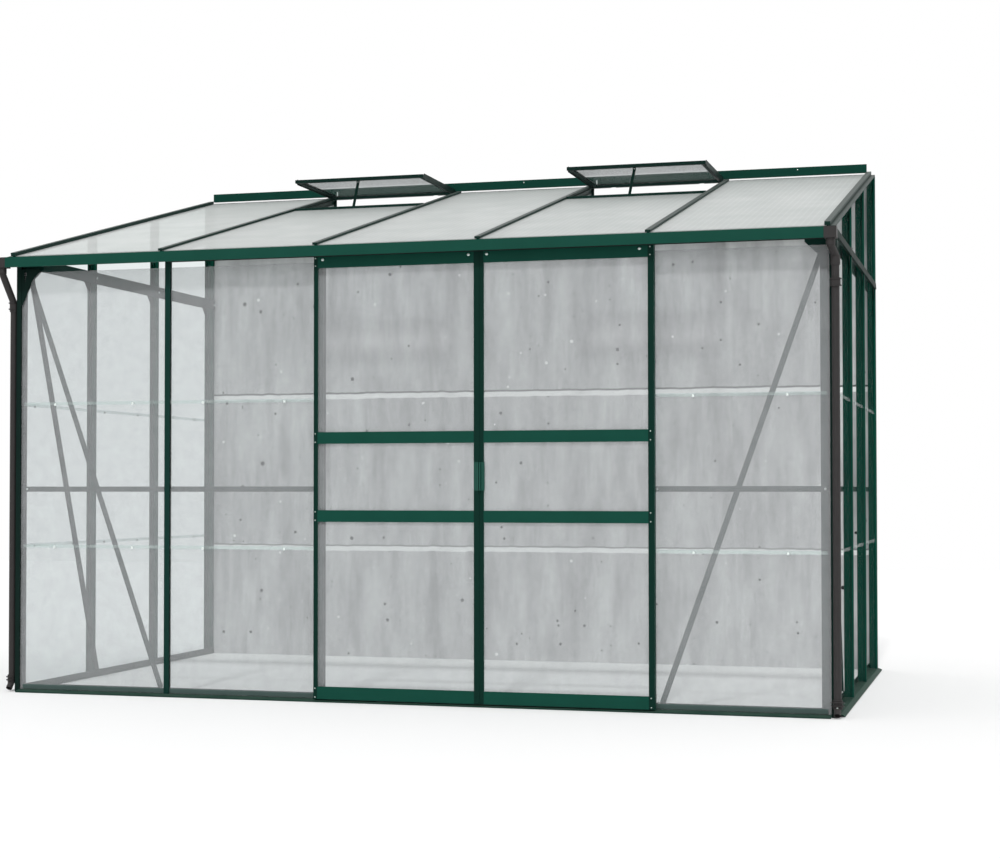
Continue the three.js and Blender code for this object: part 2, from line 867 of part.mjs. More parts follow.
function makeHandle(side, x0, finRight) {
  const face = -doorFront - fit;
  const rise = [handleFoot, handleFoot + handleHigh];
  const plate = block([x0, x0 + handleWide], [face - handlePlate, face], rise);
  const finFoot = finRight ? x0 + handleWide - handleFin : x0;
  const fin = block([finFoot, finFoot + handleFin], [face - handleReach, face - handlePlate / 2], rise);
  piece(`handle_${side}`, join(plate, fin), "handleGreen");
}

function makeDoors() {
  const meeting = (firstDoorBay + doorBays / 2) * bay - doorMeetOff;
  makeDoor("left", meeting - doorMeet / 2 - doorLeaf, true);
  makeDoor("right", meeting + doorMeet / 2, false);
}

// Vent sills: the bar that carries the short sheet and stops the vent
function makeVentSills() {
  ventBays.forEach((i, n) => {
    const clear = [i * bay + rafterWidth / 2 + fit, (i + 1) * bay - rafterWidth / 2 - fit];
    const webToWeb = [i * bay + barWeb / 2 + fit, (i + 1) * bay - barWeb / 2 - fit];
    const back = ventSillAlong + ventSillBack;
    const front = ventSillAlong - ventSillFront;
    const base = block(webToWeb, [front, back], [-ventSillFoot, -rafterSeat - fit]);
    const restTop = -(rafterCap + sheetSlot) + fit;
    const rest = block(clear, [front, ventSillAlong + ventSillWall], [-ventSillFoot, restTop]);
    const rise = block(clear, [ventSillAlong, ventSillAlong + ventSillWall], [-ventSillFoot, ventSillRise]);
    piece(`vent_sill_${n + 1}`, join(base, rest, rise), "rafterGreen", roof);
  });
}

// Vents: each one turns on pins in its top rail, and is modelled about that axis
function makeVents() {
  ventBays.forEach((i, n) => {
    const hinge = new THREE.Group();
    hinge.position.set((i + 1 / 2) * bay, ventAxis.y, ventAxis.z);
    hinge.rotation.x = roofPitch - THREE.MathUtils.degToRad(ventOpenDegrees);
    frame.add(hinge);
    makeVent(n + 1, hinge);
  });
}

function makeVent(number, hinge) {
  const half = ventWidth / 2;
  const thick = [-ventBelow, ventAbove];
  const front = -ventLength;
  const outer = block([-half, half], [front, ventBehind], thick);
  const rearFront = ventBehind - ventRail;
  const rearRail = block([-half, half], [rearFront, ventBehind], [-ventRearDown, -ventBelow / 2]);
  const light = block([ventRail - half, half - ventRail], [front + ventRail, rearFront], [-bay, bay]);
  const paneX = [ventPaneIn - half, half - ventPaneIn];
  const paneY = [front + ventPaneIn, rearFront + ventPaneRearIn];
  const paneZ = [ventPaneUp - ventBelow, ventPaneUp + roofSheet - ventBelow];
  const grown = ([a, b]) => [a - ventPaneSlack, b + ventPaneSlack];
  const groove = block(grown(paneX), grown(paneY), grown(paneZ));
  const notches = [];
  const pins = [];
  for (const side of [-1, 1]) {
    const x = side * hingeFromMiddle;
    const notchAcross = [x - hingeNotch / 2, x + hingeNotch / 2];
    const notchDeep = [-hingeLugRound - seal, ventBehind + seal];
    notches.push(block(notchAcross, notchDeep, grown([-ventRearDown, ventAbove])));
    pins.push(rod([x - hingeNotch, 0, 0], [x + hingeNotch, 0, 0], hingePin, pinSides));
  }
  const pivotX = -stayFromMiddle;
  const earBack = front + ventRail;
  const ear = block(
    [pivotX - stayWide / 2, pivotX + stayWide / 2],
    [earBack - stayEar, earBack],
    [-stayDrop - stayWide / 2, fit - ventBelow],
  );
  const pinEnd = earBack + fit + stayThick;
  const stayAxle = rod([pivotX, earBack - fit, -stayDrop], [pivotX, pinEnd, -stayDrop], stayPin, pinSides);
  const rails = cut(join(outer, rearRail), light, groove, ...notches);
  const sides = [-half, half - ventSideThick].map((x) =>
    block([x, x + ventSideThick], [front + ventSideSetBack, -hingeLugRound], [-ventSideDown, ventSideUp]),
  );
  piece(`vent_frame_${number}`, join(rails, ...sides, ...pins, ear, stayAxle), "green", hinge);
  piece(`vent_pane_${number}`, block(paneX, paneY, paneZ), "clear", hinge);
  makeStay(number, hinge, pivotX, earBack + fit);
}

// A stay is a flat strip with round ends that swings behind the vent's front rail
function makeStay(number, hinge, pivotX, y0) {
  const pivot = new THREE.Group();
  pivot.position.set(pivotX, 0, -stayDrop);
  pivot.rotation.y = THREE.MathUtils.degToRad(stayLean);
  hinge.add(pivot);
  const y1 = y0 + stayThick;
  const strip = block([-stayWide / 2, stayWide / 2], [y0, y1], [-stayLength, 0]);
  const eye = rod([0, y0, 0], [0, y1, 0], stayWide / 2, roundSides);
  const tip = rod([0, y0, -stayLength], [0, y1, -stayLength], stayWide / 2, roundSides);
  const bore = rod([0, y0 - seal, 0], [0, y1 + seal, 0], stayBore, pinSides);
  piece(`vent_stay_${number}`, cut(join(strip, eye, tip), bore), "green", pivot);
}

// A run of pipe through some points, with a ball at each knee
function pipeRun(points, radius) {
  const run = [];
  for (let i = 1; i < points.length; i += 1) {
    run.push(rod(points[i - 1], points[i], radius, roundSides));
    if (i > 1) run.push(new THREE.SphereGeometry(radius, roundSides, pinSides).translate(...points[i - 1]));
  }
  return run;
}

// Downpipes: an outlet at the gutter's end, a bend, a collar, a pipe and a ribbed shoe, all hollow
function makeDownpipe(side, pipe, outletX, gutterAfter, keepOff) {
  const outletY = -(gutterReach + gutterBack) / 2;
  const floor = gutterFoot;
  const collarRadius = pipeRadius + collarWall;
  const spigotRadius = pipeRadius + spigotWall;
  const shoeRadius = pipeRadius + shoeRibOut;
  const span = [outletX, outletX + outletWide];
  const deep = [-gutterReach, -gutterBack + gutterWall];
  const middle = outletX + outletWide / 2;
  const box = block(span, deep, [floor, gutterTop]);
  const trayLeft = gutterAfter ? span[0] + outletWall : span[0] - overrun;
  const trayRight = gutterAfter ? span[1] + overrun : span[1] - outletWall;
  const tray = block(
    [trayLeft, trayRight],
    [deep[0] + outletWall, deep[1] - outletWall],
    [floor + outletWall, gutterTop + overrun],
  );
  const knee = [middle, outletY, floor - spigotHigh];
  const bend = [pipe.x, pipe.y, pipe.bend];
  const foot = [pipe.x, pipe.y, pipeFoot + shoeRib];
  const mouth = [pipe.x, pipe.y - shoeNozzle, shoeNozzleRadius];
  const past = new THREE.Vector3(...foot).lerp(new THREE.Vector3(...mouth), pastMouth_share).toArray();
  const shell = [
    box,
    rod(knee, [middle, outletY, floor + outletWall / 2], spigotRadius, roundSides),
    ...pipeRun([[middle, outletY, floor], knee, bend, foot], pipeRadius),
    ...pipeRun([foot, mouth], shoeNozzleRadius),
    rod([pipe.x, pipe.y, pipe.bend - collarHigh], bend, collarRadius, roundSides),
    new THREE.SphereGeometry(pipeRadius, roundSides, pinSides).translate(...foot),
  ];
  for (let i = 0; i < shoeRibs; i += 1) {
    const z = pipeFoot + i * (shoeRib + shoeRibGap);
    shell.push(rod([pipe.x, pipe.y, z], [pipe.x, pipe.y, z + shoeRib], shoeRadius, roundSides));
  }
  const inside = pipeRun([[middle, outletY, floor + overrun], knee, bend, foot], pipeRadius - pipeWall);
  inside.push(...pipeRun([foot, past], shoeNozzleRadius - pipeWall));
  inside.push(new THREE.SphereGeometry(shoeNozzleRadius - pipeWall, roundSides, pinSides).translate(...foot));
  piece(`downpipe_${side}`, cut(join(...shell), tray, ...inside, ...keepOff), "anthracite");
}

function makeDownpipes() {
  const ground = block([-bay, width + bay], [-bay, bay], [-bay, seal]);
  const tall = [-overrun, gutterFoot - overrun];
  const leftPost = block([-endFace - fit, width / 2], [-barOut - fit, bay], tall);
  const rightPost = block([width / 2, width + endFace + fit], [-barOut - fit, bay], tall);
  makeDownpipe("left", leftPipe, -gutterLeft - outletWide - fit, true, [ground, leftPost]);
  const rafterRoom = block(
    [width - rafterWidth / 2 - fit, width + endFace + fit],
    [upSlope(-rafterOverhang) - seal, 0],
    [underRoof, gutterTop],
  ).applyMatrix4(roof.matrix);
  makeDownpipe("right", rightPipe, width - gutterRightStop + fit, false, [ground, rightPost, rafterRoom]);
}

makeSills();
makeCornerPosts();
makeWallPosts();
makeWallBars();
makeFrontPanes();
makeEndPanes();
makeGutter();
makeRafters();
makeRoofSheets();
makeWallPlate();
makeFrontBracing();
makeEndBracing();
makeDoors();
makeVentSills();
makeVents();
makeDownpipes();

// The origin is on the ground, in the middle of the whole greenhouse seen from above
const leftmost = -gutterLeft - outletWide - fit;
const rightmost = width + endOut + sillReachEnd;
frame.position.set(-(leftmost + rightmost) / 2, -(rear - gutterReach) / 2, 0);

export default greenhouse;
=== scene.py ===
# %% [markdown]
# # A lean to greenhouse of powder coated bars and clear glass
# The bars, panes, gutter, doors and vents come from the CAD model. This lesson dresses them:
# it gives every surface its real finish and adds the small pieces that a builder fits on site,
# such as bolts, glazing clips, gaskets and the clear strips between two panes.

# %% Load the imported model
import math

import bmesh
import bpy
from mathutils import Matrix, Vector


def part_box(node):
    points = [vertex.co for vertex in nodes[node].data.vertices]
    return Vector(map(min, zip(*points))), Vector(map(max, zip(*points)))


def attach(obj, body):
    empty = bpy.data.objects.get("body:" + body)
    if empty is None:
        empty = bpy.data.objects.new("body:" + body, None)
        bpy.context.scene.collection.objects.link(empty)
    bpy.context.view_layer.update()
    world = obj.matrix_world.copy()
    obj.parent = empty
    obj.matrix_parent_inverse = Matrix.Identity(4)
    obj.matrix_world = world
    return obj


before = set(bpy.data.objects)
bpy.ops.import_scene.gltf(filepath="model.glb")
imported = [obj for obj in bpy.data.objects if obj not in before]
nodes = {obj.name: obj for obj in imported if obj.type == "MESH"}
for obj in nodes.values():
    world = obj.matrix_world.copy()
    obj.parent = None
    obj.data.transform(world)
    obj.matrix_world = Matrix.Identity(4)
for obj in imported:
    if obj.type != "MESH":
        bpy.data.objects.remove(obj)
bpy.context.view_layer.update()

# %% [markdown]
# ## Places
# The greenhouse is laid out in bays. A place is given in millimetres from the front left bay line:
# x to the right, y back from the glass, z up. One function turns it into Blender's metres.
# Where x and y start is measured on the model itself, so that the small pieces stay with it.

# %% Bays and places
MM = 0.001
BAY = 620
BAYS_WIDE = 5
BAYS_DEEP = 3
WIDTH = BAY * BAYS_WIDE
DEPTH = BAY * BAYS_DEEP
bar_low, bar_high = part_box("front_bar")
line_x = (bar_low.x + bar_high.x) / 2 - BAY * MM
glass_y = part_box("front_pane_2")[0].y


def at(x, y, z):
    """A place in the model, from millimetres off the front left bay line."""
    return Vector((line_x + x * MM, glass_y + y * MM, z * MM))


def measured(node):
    """The low and the high corner of a CAD node's box, in the same millimetres as at()."""
    return [Vector(((c.x - line_x) / MM, (c.y - glass_y) / MM, c.z / MM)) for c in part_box(node)]


print("Left bay line at x", round(line_x, 4), "glass plane at y", round(glass_y, 4))

# %% [markdown]
# ## Camera
# The photograph was taken from about seven metres away and 0.8 m above the ground, from beyond the right
# end, looking a little to the left and up. The long lens keeps the bars almost parallel. Its axis lies
# beside the middle of the picture, so the lens is shifted by as much.

# %% Camera
PICTURE_WIDTH = 1000
PICTURE_HEIGHT = 858
SENSOR = 36.0
FOCAL_PIXELS = 1969.7
CENTRE_X = 429.5
CENTRE_Y = 438.6
CAMERA_PLACE = (3730.8, -6884.9, 777.6)
CAMERA_YAW = math.radians(16.745)
CAMERA_PITCH = math.radians(1.518)

camera_data = bpy.data.cameras.new("camera")
camera_data.sensor_fit = "HORIZONTAL"
camera_data.sensor_width = SENSOR
camera_data.lens = SENSOR * FOCAL_PIXELS / PICTURE_WIDTH
camera_data.shift_x = (PICTURE_WIDTH / 2 - CENTRE_X) / PICTURE_WIDTH
camera_data.shift_y = (CENTRE_Y - PICTURE_HEIGHT / 2) / PICTURE_WIDTH
camera_data.clip_end = 100
camera = bpy.data.objects.new("camera", camera_data)
camera.location = at(*CAMERA_PLACE)
camera.rotation_euler = (math.pi / 2 + CAMERA_PITCH, 0, CAMERA_YAW)
bpy.context.scene.collection.objects.link(camera)
bpy.context.scene.camera = camera
print("Lens", round(camera_data.lens, 1), "mm")

# %% [markdown]
# ## Colours and shader nodes
# Colours are picked as sRGB hex, the way a paint chart gives them, while Blender works in linear light.
# One small function adds a shader node, sets it and links it, so a material reads as a short recipe.


# %% Helpers for materials
def linear(hex_colour):
    """Linear RGBA from an sRGB hex colour."""
    channels = [int(hex_colour[i : i + 2], 16) / 255 for i in (1, 3, 5)]
    curve = [c / 12.92 if c <= 0.04045 else ((c + 0.055) / 1.055) ** 2.4 for c in channels]
    return (*curve, 1.0)


def lighter(hex_colour, times):
    """The same colour with times as much light, or darker where times is below 1."""
    r, g, b, a = linear(hex_colour)
    return (min(r * times, 1), min(g * times, 1), min(b * times, 1), a)


def add(tree, kind, inputs=None, **settings):
    """Adds a shader node. An input is a plain value, or another node's output."""
    node = tree.nodes.new("ShaderNode" + kind)
    for name, value in settings.items():
        setattr(node, name, value)
    for name, value in (inputs or {}).items():
        if isinstance(value, bpy.types.NodeSocket):
            tree.links.new(value, node.inputs[name])
        else:
            node.inputs[name].default_value = value
    return node


def new_material(name):
    """An empty material and its node tree."""
    material = bpy.data.materials.new(name)
    material.use_nodes = True
    material.node_tree.nodes.clear()
    return material, material.node_tree


def ramp(tree, factor, stops):
    """A colour ramp from (place, colour) pairs."""
    node = add(tree, "ValToRGB", {"Fac": factor})
    elements = node.color_ramp.elements
    elements[0].position, elements[0].color = stops[0]
    elements[1].position, elements[1].color = stops[-1]
    for place, colour in stops[1:-1]:
        elements.new(place).color = colour
    return node.outputs["Color"]


print("Helpers for materials ready")

# %% [markdown]
# ## Powder coated aluminium
# Each bar is an extrusion that was sprayed with dry powder and baked. The skin is a satin plastic,
# so it isn't metallic, and under raking light it shows a faint orange peel. Faces that look up are greyer
# and paler: partly the dust that rain leaves there, partly painted light from the sky above. This makes
# the sills and the roof bars greyer than the upright bars. A picture of it could be laid over each bar,
# but mixing it in by the way a face looks needs no picture and fits them all.


# %% Powder coat
ORANGE_PEEL_MM = 6.0  # real orange peel is nearer 2 mm, drawn coarser so that it shows
ORANGE_PEEL_DEPTH_MM = 0.3
DUST_PATCH_MM = 90.0
DUST_AND_LIGHT_GAIN = 1.7  # the patches let about half of it through
SATIN_ROUGHNESS = 0.42
SATIN_SPECULAR = 0.06  # a fine textured coat mirrors far less than a gloss one


def powder_coat(name, colour, dusty_and_lit, dust_and_top_light, specular=SATIN_SPECULAR):
    """Satin powder coat. Faces that look up are mixed towards the paler second colour, by the share given:
    partly dust, partly painted light from above.
    """
    material, tree = new_material(name)
    place = add(tree, "TexCoord").outputs["Object"]
    normal = add(tree, "NewGeometry").outputs["Normal"]
    upward = add(tree, "SeparateXYZ", {"Vector": normal}).outputs["Z"]
    noise = add(tree, "TexNoise", {"Vector": place, "Scale": 1 / (DUST_PATCH_MM * MM), "Detail": 4.0})
    patches = noise.outputs["Fac"]
    # Faces that look up grow paler: partly dust, partly painted light from the sky above.
    upward_dust_and_light = add(tree, "MapRange", {"Value": upward, "From Min": 0.2, "From Max": 0.95, "To Max": dust_and_top_light})
    uneven = add(tree, "Math", {0: upward_dust_and_light.outputs[0], 1: patches}, operation="MULTIPLY")
    dust_and_light_share = add(tree, "Math", {0: uneven.outputs[0], 1: DUST_AND_LIGHT_GAIN}, operation="MULTIPLY", use_clamp=True)
    clean = ramp(tree, patches, [(0.3, linear(colour)), (0.75, lighter(colour, 1.12))])
    tone = add(tree, "Mix", {0: dust_and_light_share.outputs[0], 6: clean, 7: linear(dusty_and_lit)}, data_type="RGBA")
    peel = add(tree, "TexNoise", {"Vector": place, "Scale": 1 / (ORANGE_PEEL_MM * MM), "Detail": 2.0})
    relief = {"Height": peel.outputs["Fac"], "Strength": 0.12, "Distance": ORANGE_PEEL_DEPTH_MM * MM}
    bump = add(tree, "Bump", relief)
    satin = {"Value": patches, "To Min": SATIN_ROUGHNESS - 0.06, "To Max": SATIN_ROUGHNESS + 0.1}
    skin = {
        "Base Color": tone.outputs[2],
        "Roughness": add(tree, "MapRange", satin).outputs[0],
        "Normal": bump.outputs[0],
        "Specular IOR Level": specular,
    }
    shader = add(tree, "BsdfPrincipled", skin)
    add(tree, "OutputMaterial", {"Surface": shader.outputs[0]})
    return material


# %% The coats
# All bars are coated the same dark green. Each group gets a lighter or darker copy of that coat:
# painted light and shade, for how the light falls on that group.
bar_coat = powder_coat("powder_coat_bars", "#0f2f29", "#3c4a46", 0.4)
post_coat = powder_coat("powder_coat_posts", "#12231f", "#37433f", 0.4, specular=0.03)
gutter_coat = powder_coat("powder_coat_gutter", "#144237", "#41574f", 0.4)
plate_coat = powder_coat("powder_coat_wall_plate", "#0a382e", "#2f4841", 0.4)
sill_coat = powder_coat("powder_coat_sills", "#1c372f", "#3a4f46", 0.8, specular=0.01)
sill_cover_coat = powder_coat("powder_coat_sill_covers", "#465653", "#5c6b67", 0.4)
end_coat = powder_coat("powder_coat_end_bars", "#104337", "#33443e", 0.4, specular=0.01)
ledge_coat = powder_coat("powder_coat_ledges", "#0d201b", "#2b3a35", 0.2, specular=0.01)
rafter_coat = powder_coat("powder_coat_rafters", "#16302a", "#474f4c", 1.0)
door_coat = powder_coat("powder_coat_doors", "#104035", "#3d514a", 0.6)
# A darker copy of the door coat: painted shade on the stiles' rounded fronts.
stile_shaded_coat = powder_coat("powder_coat_stiles_painted_shade", "#082821", "#2f403b", 0.3)
vent_coat = powder_coat("powder_coat_vents", "#0c241f", "#33413c", 0.6)
print("Powder coats ready")

# %% [markdown]
# ## Clear glass
# Float glass is 3 mm thick and clear. The front panes mirror their pale surroundings, which lays an even
# grey veil over the bars behind. A plain studio has little to mirror, so the veil is mixed in as a share
# of a pale surface. The end panes show almost none of it. Light from the lamps has to pass a pane,
# or all inside it would be black: so to a shadow ray the pane is plain clear.


# %% Glass
def clear_to_lamps(tree, seen, passing):
    """Ends a material that the eye meets as seen, and a shadow ray as a plain clear sheet."""
    clear = add(tree, "BsdfTransparent", {"Color": linear(passing)})
    shadow_ray = add(tree, "LightPath").outputs["Is Shadow Ray"]
    both = add(tree, "MixShader", {0: shadow_ray, 1: seen.outputs[0], 2: clear.outputs[0]})
    add(tree, "OutputMaterial", {"Surface": both.outputs[0]})


def pane(name, veil, colour, passing, roughness=0.3, mottle_mm=60.0, mottle=0.04, rear_share=1.0):
    """A thin clear pane. Each face lets light through but for a share, the veil, in a pale colour.
    Over its rear half the veil can be weaker, down to rear_share of it."""
    material, tree = new_material(name)
    coordinates = add(tree, "TexCoord").outputs
    clouds = {"Vector": coordinates["Object"], "Scale": 1 / (mottle_mm * MM), "Detail": 4.0}
    cloud = add(tree, "TexNoise", clouds).outputs["Fac"]
    uneven = {"Value": cloud, "From Min": 0.3, "From Max": 0.7}
    uneven.update({"To Min": veil - mottle, "To Max": veil + mottle})
    rearward = add(tree, "SeparateXYZ", {"Vector": coordinates["Generated"]}).outputs["Y"]
    fade = {"Value": rearward, "From Min": 0.4, "From Max": 0.6, "To Min": 1.0, "To Max": rear_share}
    factors = {0: add(tree, "MapRange", uneven).outputs[0], 1: add(tree, "MapRange", fade).outputs[0]}
    share = add(tree, "Math", factors, operation="MULTIPLY").outputs[0]
    face = {"Base Color": linear(colour), "Roughness": roughness, "Specular IOR Level": 0.3}
    surface = add(tree, "BsdfPrincipled", face)
    through = add(tree, "BsdfTransparent", {"Color": linear(passing)})
    seen = add(tree, "MixShader", {0: share, 1: through.outputs[0], 2: surface.outputs[0]})
    clear_to_lamps(tree, seen, "#f6f8f8")
    return material


front_glass = pane("float_glass_front", 0.29, "#b4b5b7", "#fdfefe", mottle=0.03)
end_glass = pane("float_glass_ends", 0.008, "#c4c9c8", "#fefefe", mottle=0.003)
left_glass = pane("float_glass_left_end", 0.008, "#c4c9c8", "#f4f7f7", mottle=0.003)
speckled = {"mottle_mm": 9.0, "mottle": 0.12, "rear_share": 0.3}
vent_glass = pane("float_glass_vents", 0.42, "#9c9d9d", "#f2f4f4", **speckled)
print("Glass ready")

# %% [markdown]
# ## Milky roof sheets
# The roof is twin wall plastic sheet, two thin skins joined by fine ribs that run up the slope.
# It lets light in but shows hardly anything behind it, so the eye meets an even pale grey. The ribs could
# be modelled one by one, but a wave in the veil shows the same faint stripes at a fraction of the faces.


# %% Twin wall sheet
RIB_MM = 24.0  # real ribs are nearer 6 mm apart, drawn coarser so that they can show
CLOUD_MM = 160.0


def twin_wall(name, colour, hollow, upper, veil):
    """Milky sheet. The veil is stronger over each rib, and the sheet darker near the house wall."""
    material, tree = new_material(name)
    coordinates = add(tree, "TexCoord").outputs
    across = add(tree, "SeparateXYZ", {"Vector": coordinates["Object"]}).outputs["X"]
    phase = add(tree, "Math", {0: across, 1: 2 * math.pi / (RIB_MM * MM)}, operation="MULTIPLY")
    wave = add(tree, "Math", {0: phase.outputs[0]}, operation="SINE").outputs[0]
    ribbed = {"Value": wave, "From Min": 0.5, "To Min": veil - 0.01, "To Max": veil + 0.03}
    rib = add(tree, "MapRange", ribbed)
    clouds = {"Vector": coordinates["Object"], "Scale": 1 / (CLOUD_MM * MM), "Detail": 3.0}
    cloud = add(tree, "TexNoise", clouds).outputs["Fac"]
    tone = ramp(tree, cloud, [(0.35, linear(hollow)), (0.65, linear(colour))])
    up_slope = add(tree, "SeparateXYZ", {"Vector": coordinates["Generated"]}).outputs["Y"]
    shade = add(tree, "MapRange", {"Value": up_slope, "From Min": 0.55, "To Max": 0.75})
    skin_tone = add(tree, "Mix", {0: shade.outputs[0], 6: tone, 7: linear(upper)}, data_type="RGBA")
    skin_look = {"Base Color": skin_tone.outputs[2], "Roughness": 0.5, "Specular IOR Level": 0.2}
    skin = add(tree, "BsdfPrincipled", skin_look)
    through = add(tree, "BsdfTransparent", {"Color": linear("#f3f6f5")})
    seen = add(tree, "MixShader", {0: rib.outputs[0], 1: through.outputs[0], 2: skin.outputs[0]})
    clear_to_lamps(tree, seen, "#f8faf9")
    return material


roof_sheet = twin_wall("twin_wall_milky", "#d6d8d7", "#cdd0cf", "#aeb3b1", 0.6)
print("Roof sheet ready")

# %% [markdown]
# ## Plastics, rubber and zinc
# The downpipes are extruded rigid vinyl in anthracite, matt with faint streaks along the pipe.
# Rollers are moulded nylon, gaskets are black rubber, and the bolts are bright zinc plated steel.
# One recipe serves all plastics, because they differ only in colour, gloss and grain.


# %% Plastics and metals
SPANGLE_MM = 3.0


def moulded(name, colour, roughness, grain_mm, depth_mm, stretch=(1, 1, 1)):
    """A moulded or extruded plastic with a fine grain, which stretch draws out along a piece."""
    material, tree = new_material(name)
    place = add(tree, "TexCoord").outputs["Object"]
    drawn = add(tree, "Mapping", {"Vector": place, "Scale": stretch}).outputs[0]
    noise = add(tree, "TexNoise", {"Vector": drawn, "Scale": 1 / (grain_mm * MM), "Detail": 4.0})
    grain = noise.outputs["Fac"]
    bump = add(tree, "Bump", {"Height": grain, "Strength": 0.2, "Distance": depth_mm * MM})
    sheen = {"Value": grain, "To Min": roughness - 0.08, "To Max": roughness + 0.08}
    skin = {
        "Base Color": ramp(tree, grain, [(0.3, lighter(colour, 0.88)), (0.7, lighter(colour, 1.14))]),
        "Roughness": add(tree, "MapRange", sheen).outputs[0],
        "Normal": bump.outputs[0],
        "Specular IOR Level": 0.2,
    }
    shader = add(tree, "BsdfPrincipled", skin)
    add(tree, "OutputMaterial", {"Surface": shader.outputs[0]})
    return material


def zinc_plate(name):
    """Bright zinc plating: a pale metal with fine cloudy spangle."""
    material, tree = new_material(name)
    place = add(tree, "TexCoord").outputs["Object"]
    noise = add(tree, "TexNoise", {"Vector": place, "Scale": 1 / (SPANGLE_MM * MM), "Detail": 3.0})
    spangle = noise.outputs["Fac"]
    skin = {
        "Base Color": ramp(tree, spangle, [(0.3, linear("#c3cfcb")), (0.7, linear("#e9f3ef"))]),
        "Metallic": 1.0,
        "Roughness": add(tree, "MapRange", {"Value": spangle, "To Min": 0.22, "To Max": 0.42}).outputs[0],
    }
    shader = add(tree, "BsdfPrincipled", skin)
    add(tree, "OutputMaterial", {"Surface": shader.outputs[0]})
    return material


pipe_vinyl = moulded("extruded_vinyl_anthracite", "#2f2d2d", 0.5, 5.0, 0.1, (1, 1, 0.15))
roller_nylon = moulded("moulded_nylon_black", "#2a2c2b", 0.45, 2.0, 0.05)
handle_plastic = moulded("moulded_plastic_green", "#15473c", 0.38, 2.5, 0.08)
gasket_rubber = moulded("extruded_rubber_black", "#1d201f", 0.6, 2.0, 0.05)
clip_plastic = moulded("moulded_acetal_white", "#e4ebe8", 0.3, 2.0, 0.03)
clip_grey = moulded("moulded_acetal_grey", "#5b6663", 0.4, 2.0, 0.03)
zinc = zinc_plate("zinc_plated_steel")
print("Plastics, rubber and zinc ready")

# %% [markdown]
# ## Finishes for the CAD nodes
# A node's name says what it is, so the start of the name chooses its finish. Where two starts fit,
# the longer one counts: the panes of the left end have a glass of their own.

# %% Dress the nodes
FINISHES = {
    "sill": sill_coat,
    "corner_post": post_coat,
    "wall_post": end_coat,
    "front_bar": bar_coat,
    "door_jamb": bar_coat,
    "end_bar": end_coat,
    "bracing": bar_coat,
    "gutter": gutter_coat,
    "wall_plate": plate_coat,
    "rafter": rafter_coat,
    "vent_sill": rafter_coat,
    "vent_frame": vent_coat,
    "vent_stay": vent_coat,
    "vent_pane": vent_glass,
    "roof_sheet": roof_sheet,
    "front_pane": front_glass,
    "end_pane": end_glass,
    "end_pane_left": left_glass,
    "door_pane": front_glass,
    "door_frame": door_coat,
    "handle": handle_plastic,
    "roller": roller_nylon,
    "downpipe": pipe_vinyl,
}


def finish_of(name):
    """The finish whose key is the longest that the name starts with."""
    fitting = [key for key in FINISHES if name.startswith(key)]
    return FINISHES[max(fitting, key=len)]


for name, node in nodes.items():
    node.data.materials.clear()
    node.data.materials.append(finish_of(name))
print(len(nodes), "nodes dressed")

# %% [markdown]
# ## Small pieces
# Small fittings repeat dozens of times. Each kind is drawn once as a list of corners and faces,
# copied to its places and gathered into one mesh for each body, so that a door carries its own bolts.


# %% Mesh helpers
def new_piece(name, corners, faces, material):
    """A new object in the scene, from corners in metres and faces as lists of corner numbers."""
    mesh = bpy.data.meshes.new(name)
    mesh.from_pydata([tuple(c) for c in corners], [], faces)
    mesh.update()
    mesh.materials.append(material)
    piece = bpy.data.objects.new(name, mesh)
    bpy.context.scene.collection.objects.link(piece)
    return piece


def gathered(name, parts, material, body, smooth=False):
    """One object from many (corners, faces) pairs, which rides on a CAD body."""
    corners, faces = [], []
    for part_corners, part_faces in parts:
        first = len(corners)
        corners += part_corners
        faces += [[first + i for i in face] for face in part_faces]
    piece = new_piece(name, corners, faces, material)
    shape = bmesh.new()
    shape.from_mesh(piece.data)
    bmesh.ops.recalc_face_normals(shape, faces=shape.faces)
    shape.to_mesh(piece.data)
    shape.free()
    for face in piece.data.polygons:
        face.use_smooth = smooth
    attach(piece, body)


def turned(profile, centre, axis, sides=16):
    """A turned shape: profile is (radius, height) in mm from the axis' foot up."""
    up = Vector(axis).normalized()
    side = up.orthogonal().normalized()
    other = up.cross(side)
    corners, faces = [], []
    for radius, height in profile:
        for i in range(sides):
            angle = 2 * math.pi * i / sides
            across = side * math.cos(angle) + other * math.sin(angle)
            corners.append(centre + (across * radius + up * height) * MM)
    for ring in range(len(profile) - 1):
        low, high = ring * sides, (ring + 1) * sides
        for i in range(sides):
            j = (i + 1) % sides
            faces.append([low + i, low + j, high + j, high + i])
    faces.append(list(range(sides))[::-1])
    faces.append([(len(profile) - 1) * sides + i for i in range(sides)])
    return corners, faces


def extrusion(outline, start, end, across, up):
    """A straight run of an outline of (across, up) millimetres, from one place to another."""
    offsets = [(Vector(across) * a + Vector(up) * b) * MM for a, b in outline]
    corners = [place + offset for place in (start, end) for offset in offsets]
    count = len(outline)
    faces = [[i, (i + 1) % count, count + (i + 1) % count, count + i] for i in range(count)]
    return corners, faces + [list(range(count))[::-1], [count + i for i in range(count)]]


FRONT = (0, -1, 0)
BACK = (0, 1, 0)
LEFT = (-1, 0, 0)
RIGHT = (1, 0, 0)
UP = (0, 0, 1)
print("Mesh helpers ready")

# %% [markdown]
# ## Bolts
# The bars are joined by short bolts whose square heads slide in a channel, so the eye meets a nut on a
# washer. The doors have larger domed screws near the ends of their top rails. Both are turned shapes,
# so one function that spins a profile round an axis draws them all.


# %% Nut and screw
# Profiles are (radius, height) in millimetres. The nuts are drawn at NUT_SIZE times their profiles.
WASHER = [(5.5, 0), (6, 0.4), (6, 1), (5.5, 1.3)]
NUT_BODY = [(4.6, 1.2), (5.2, 1.8), (5.2, 4.2), (4.6, 4.9)]
BOLT_END = [(2.9, 4.6), (2.9, 6.2), (2.4, 6.8)]
NUT_SIZE = 0.8
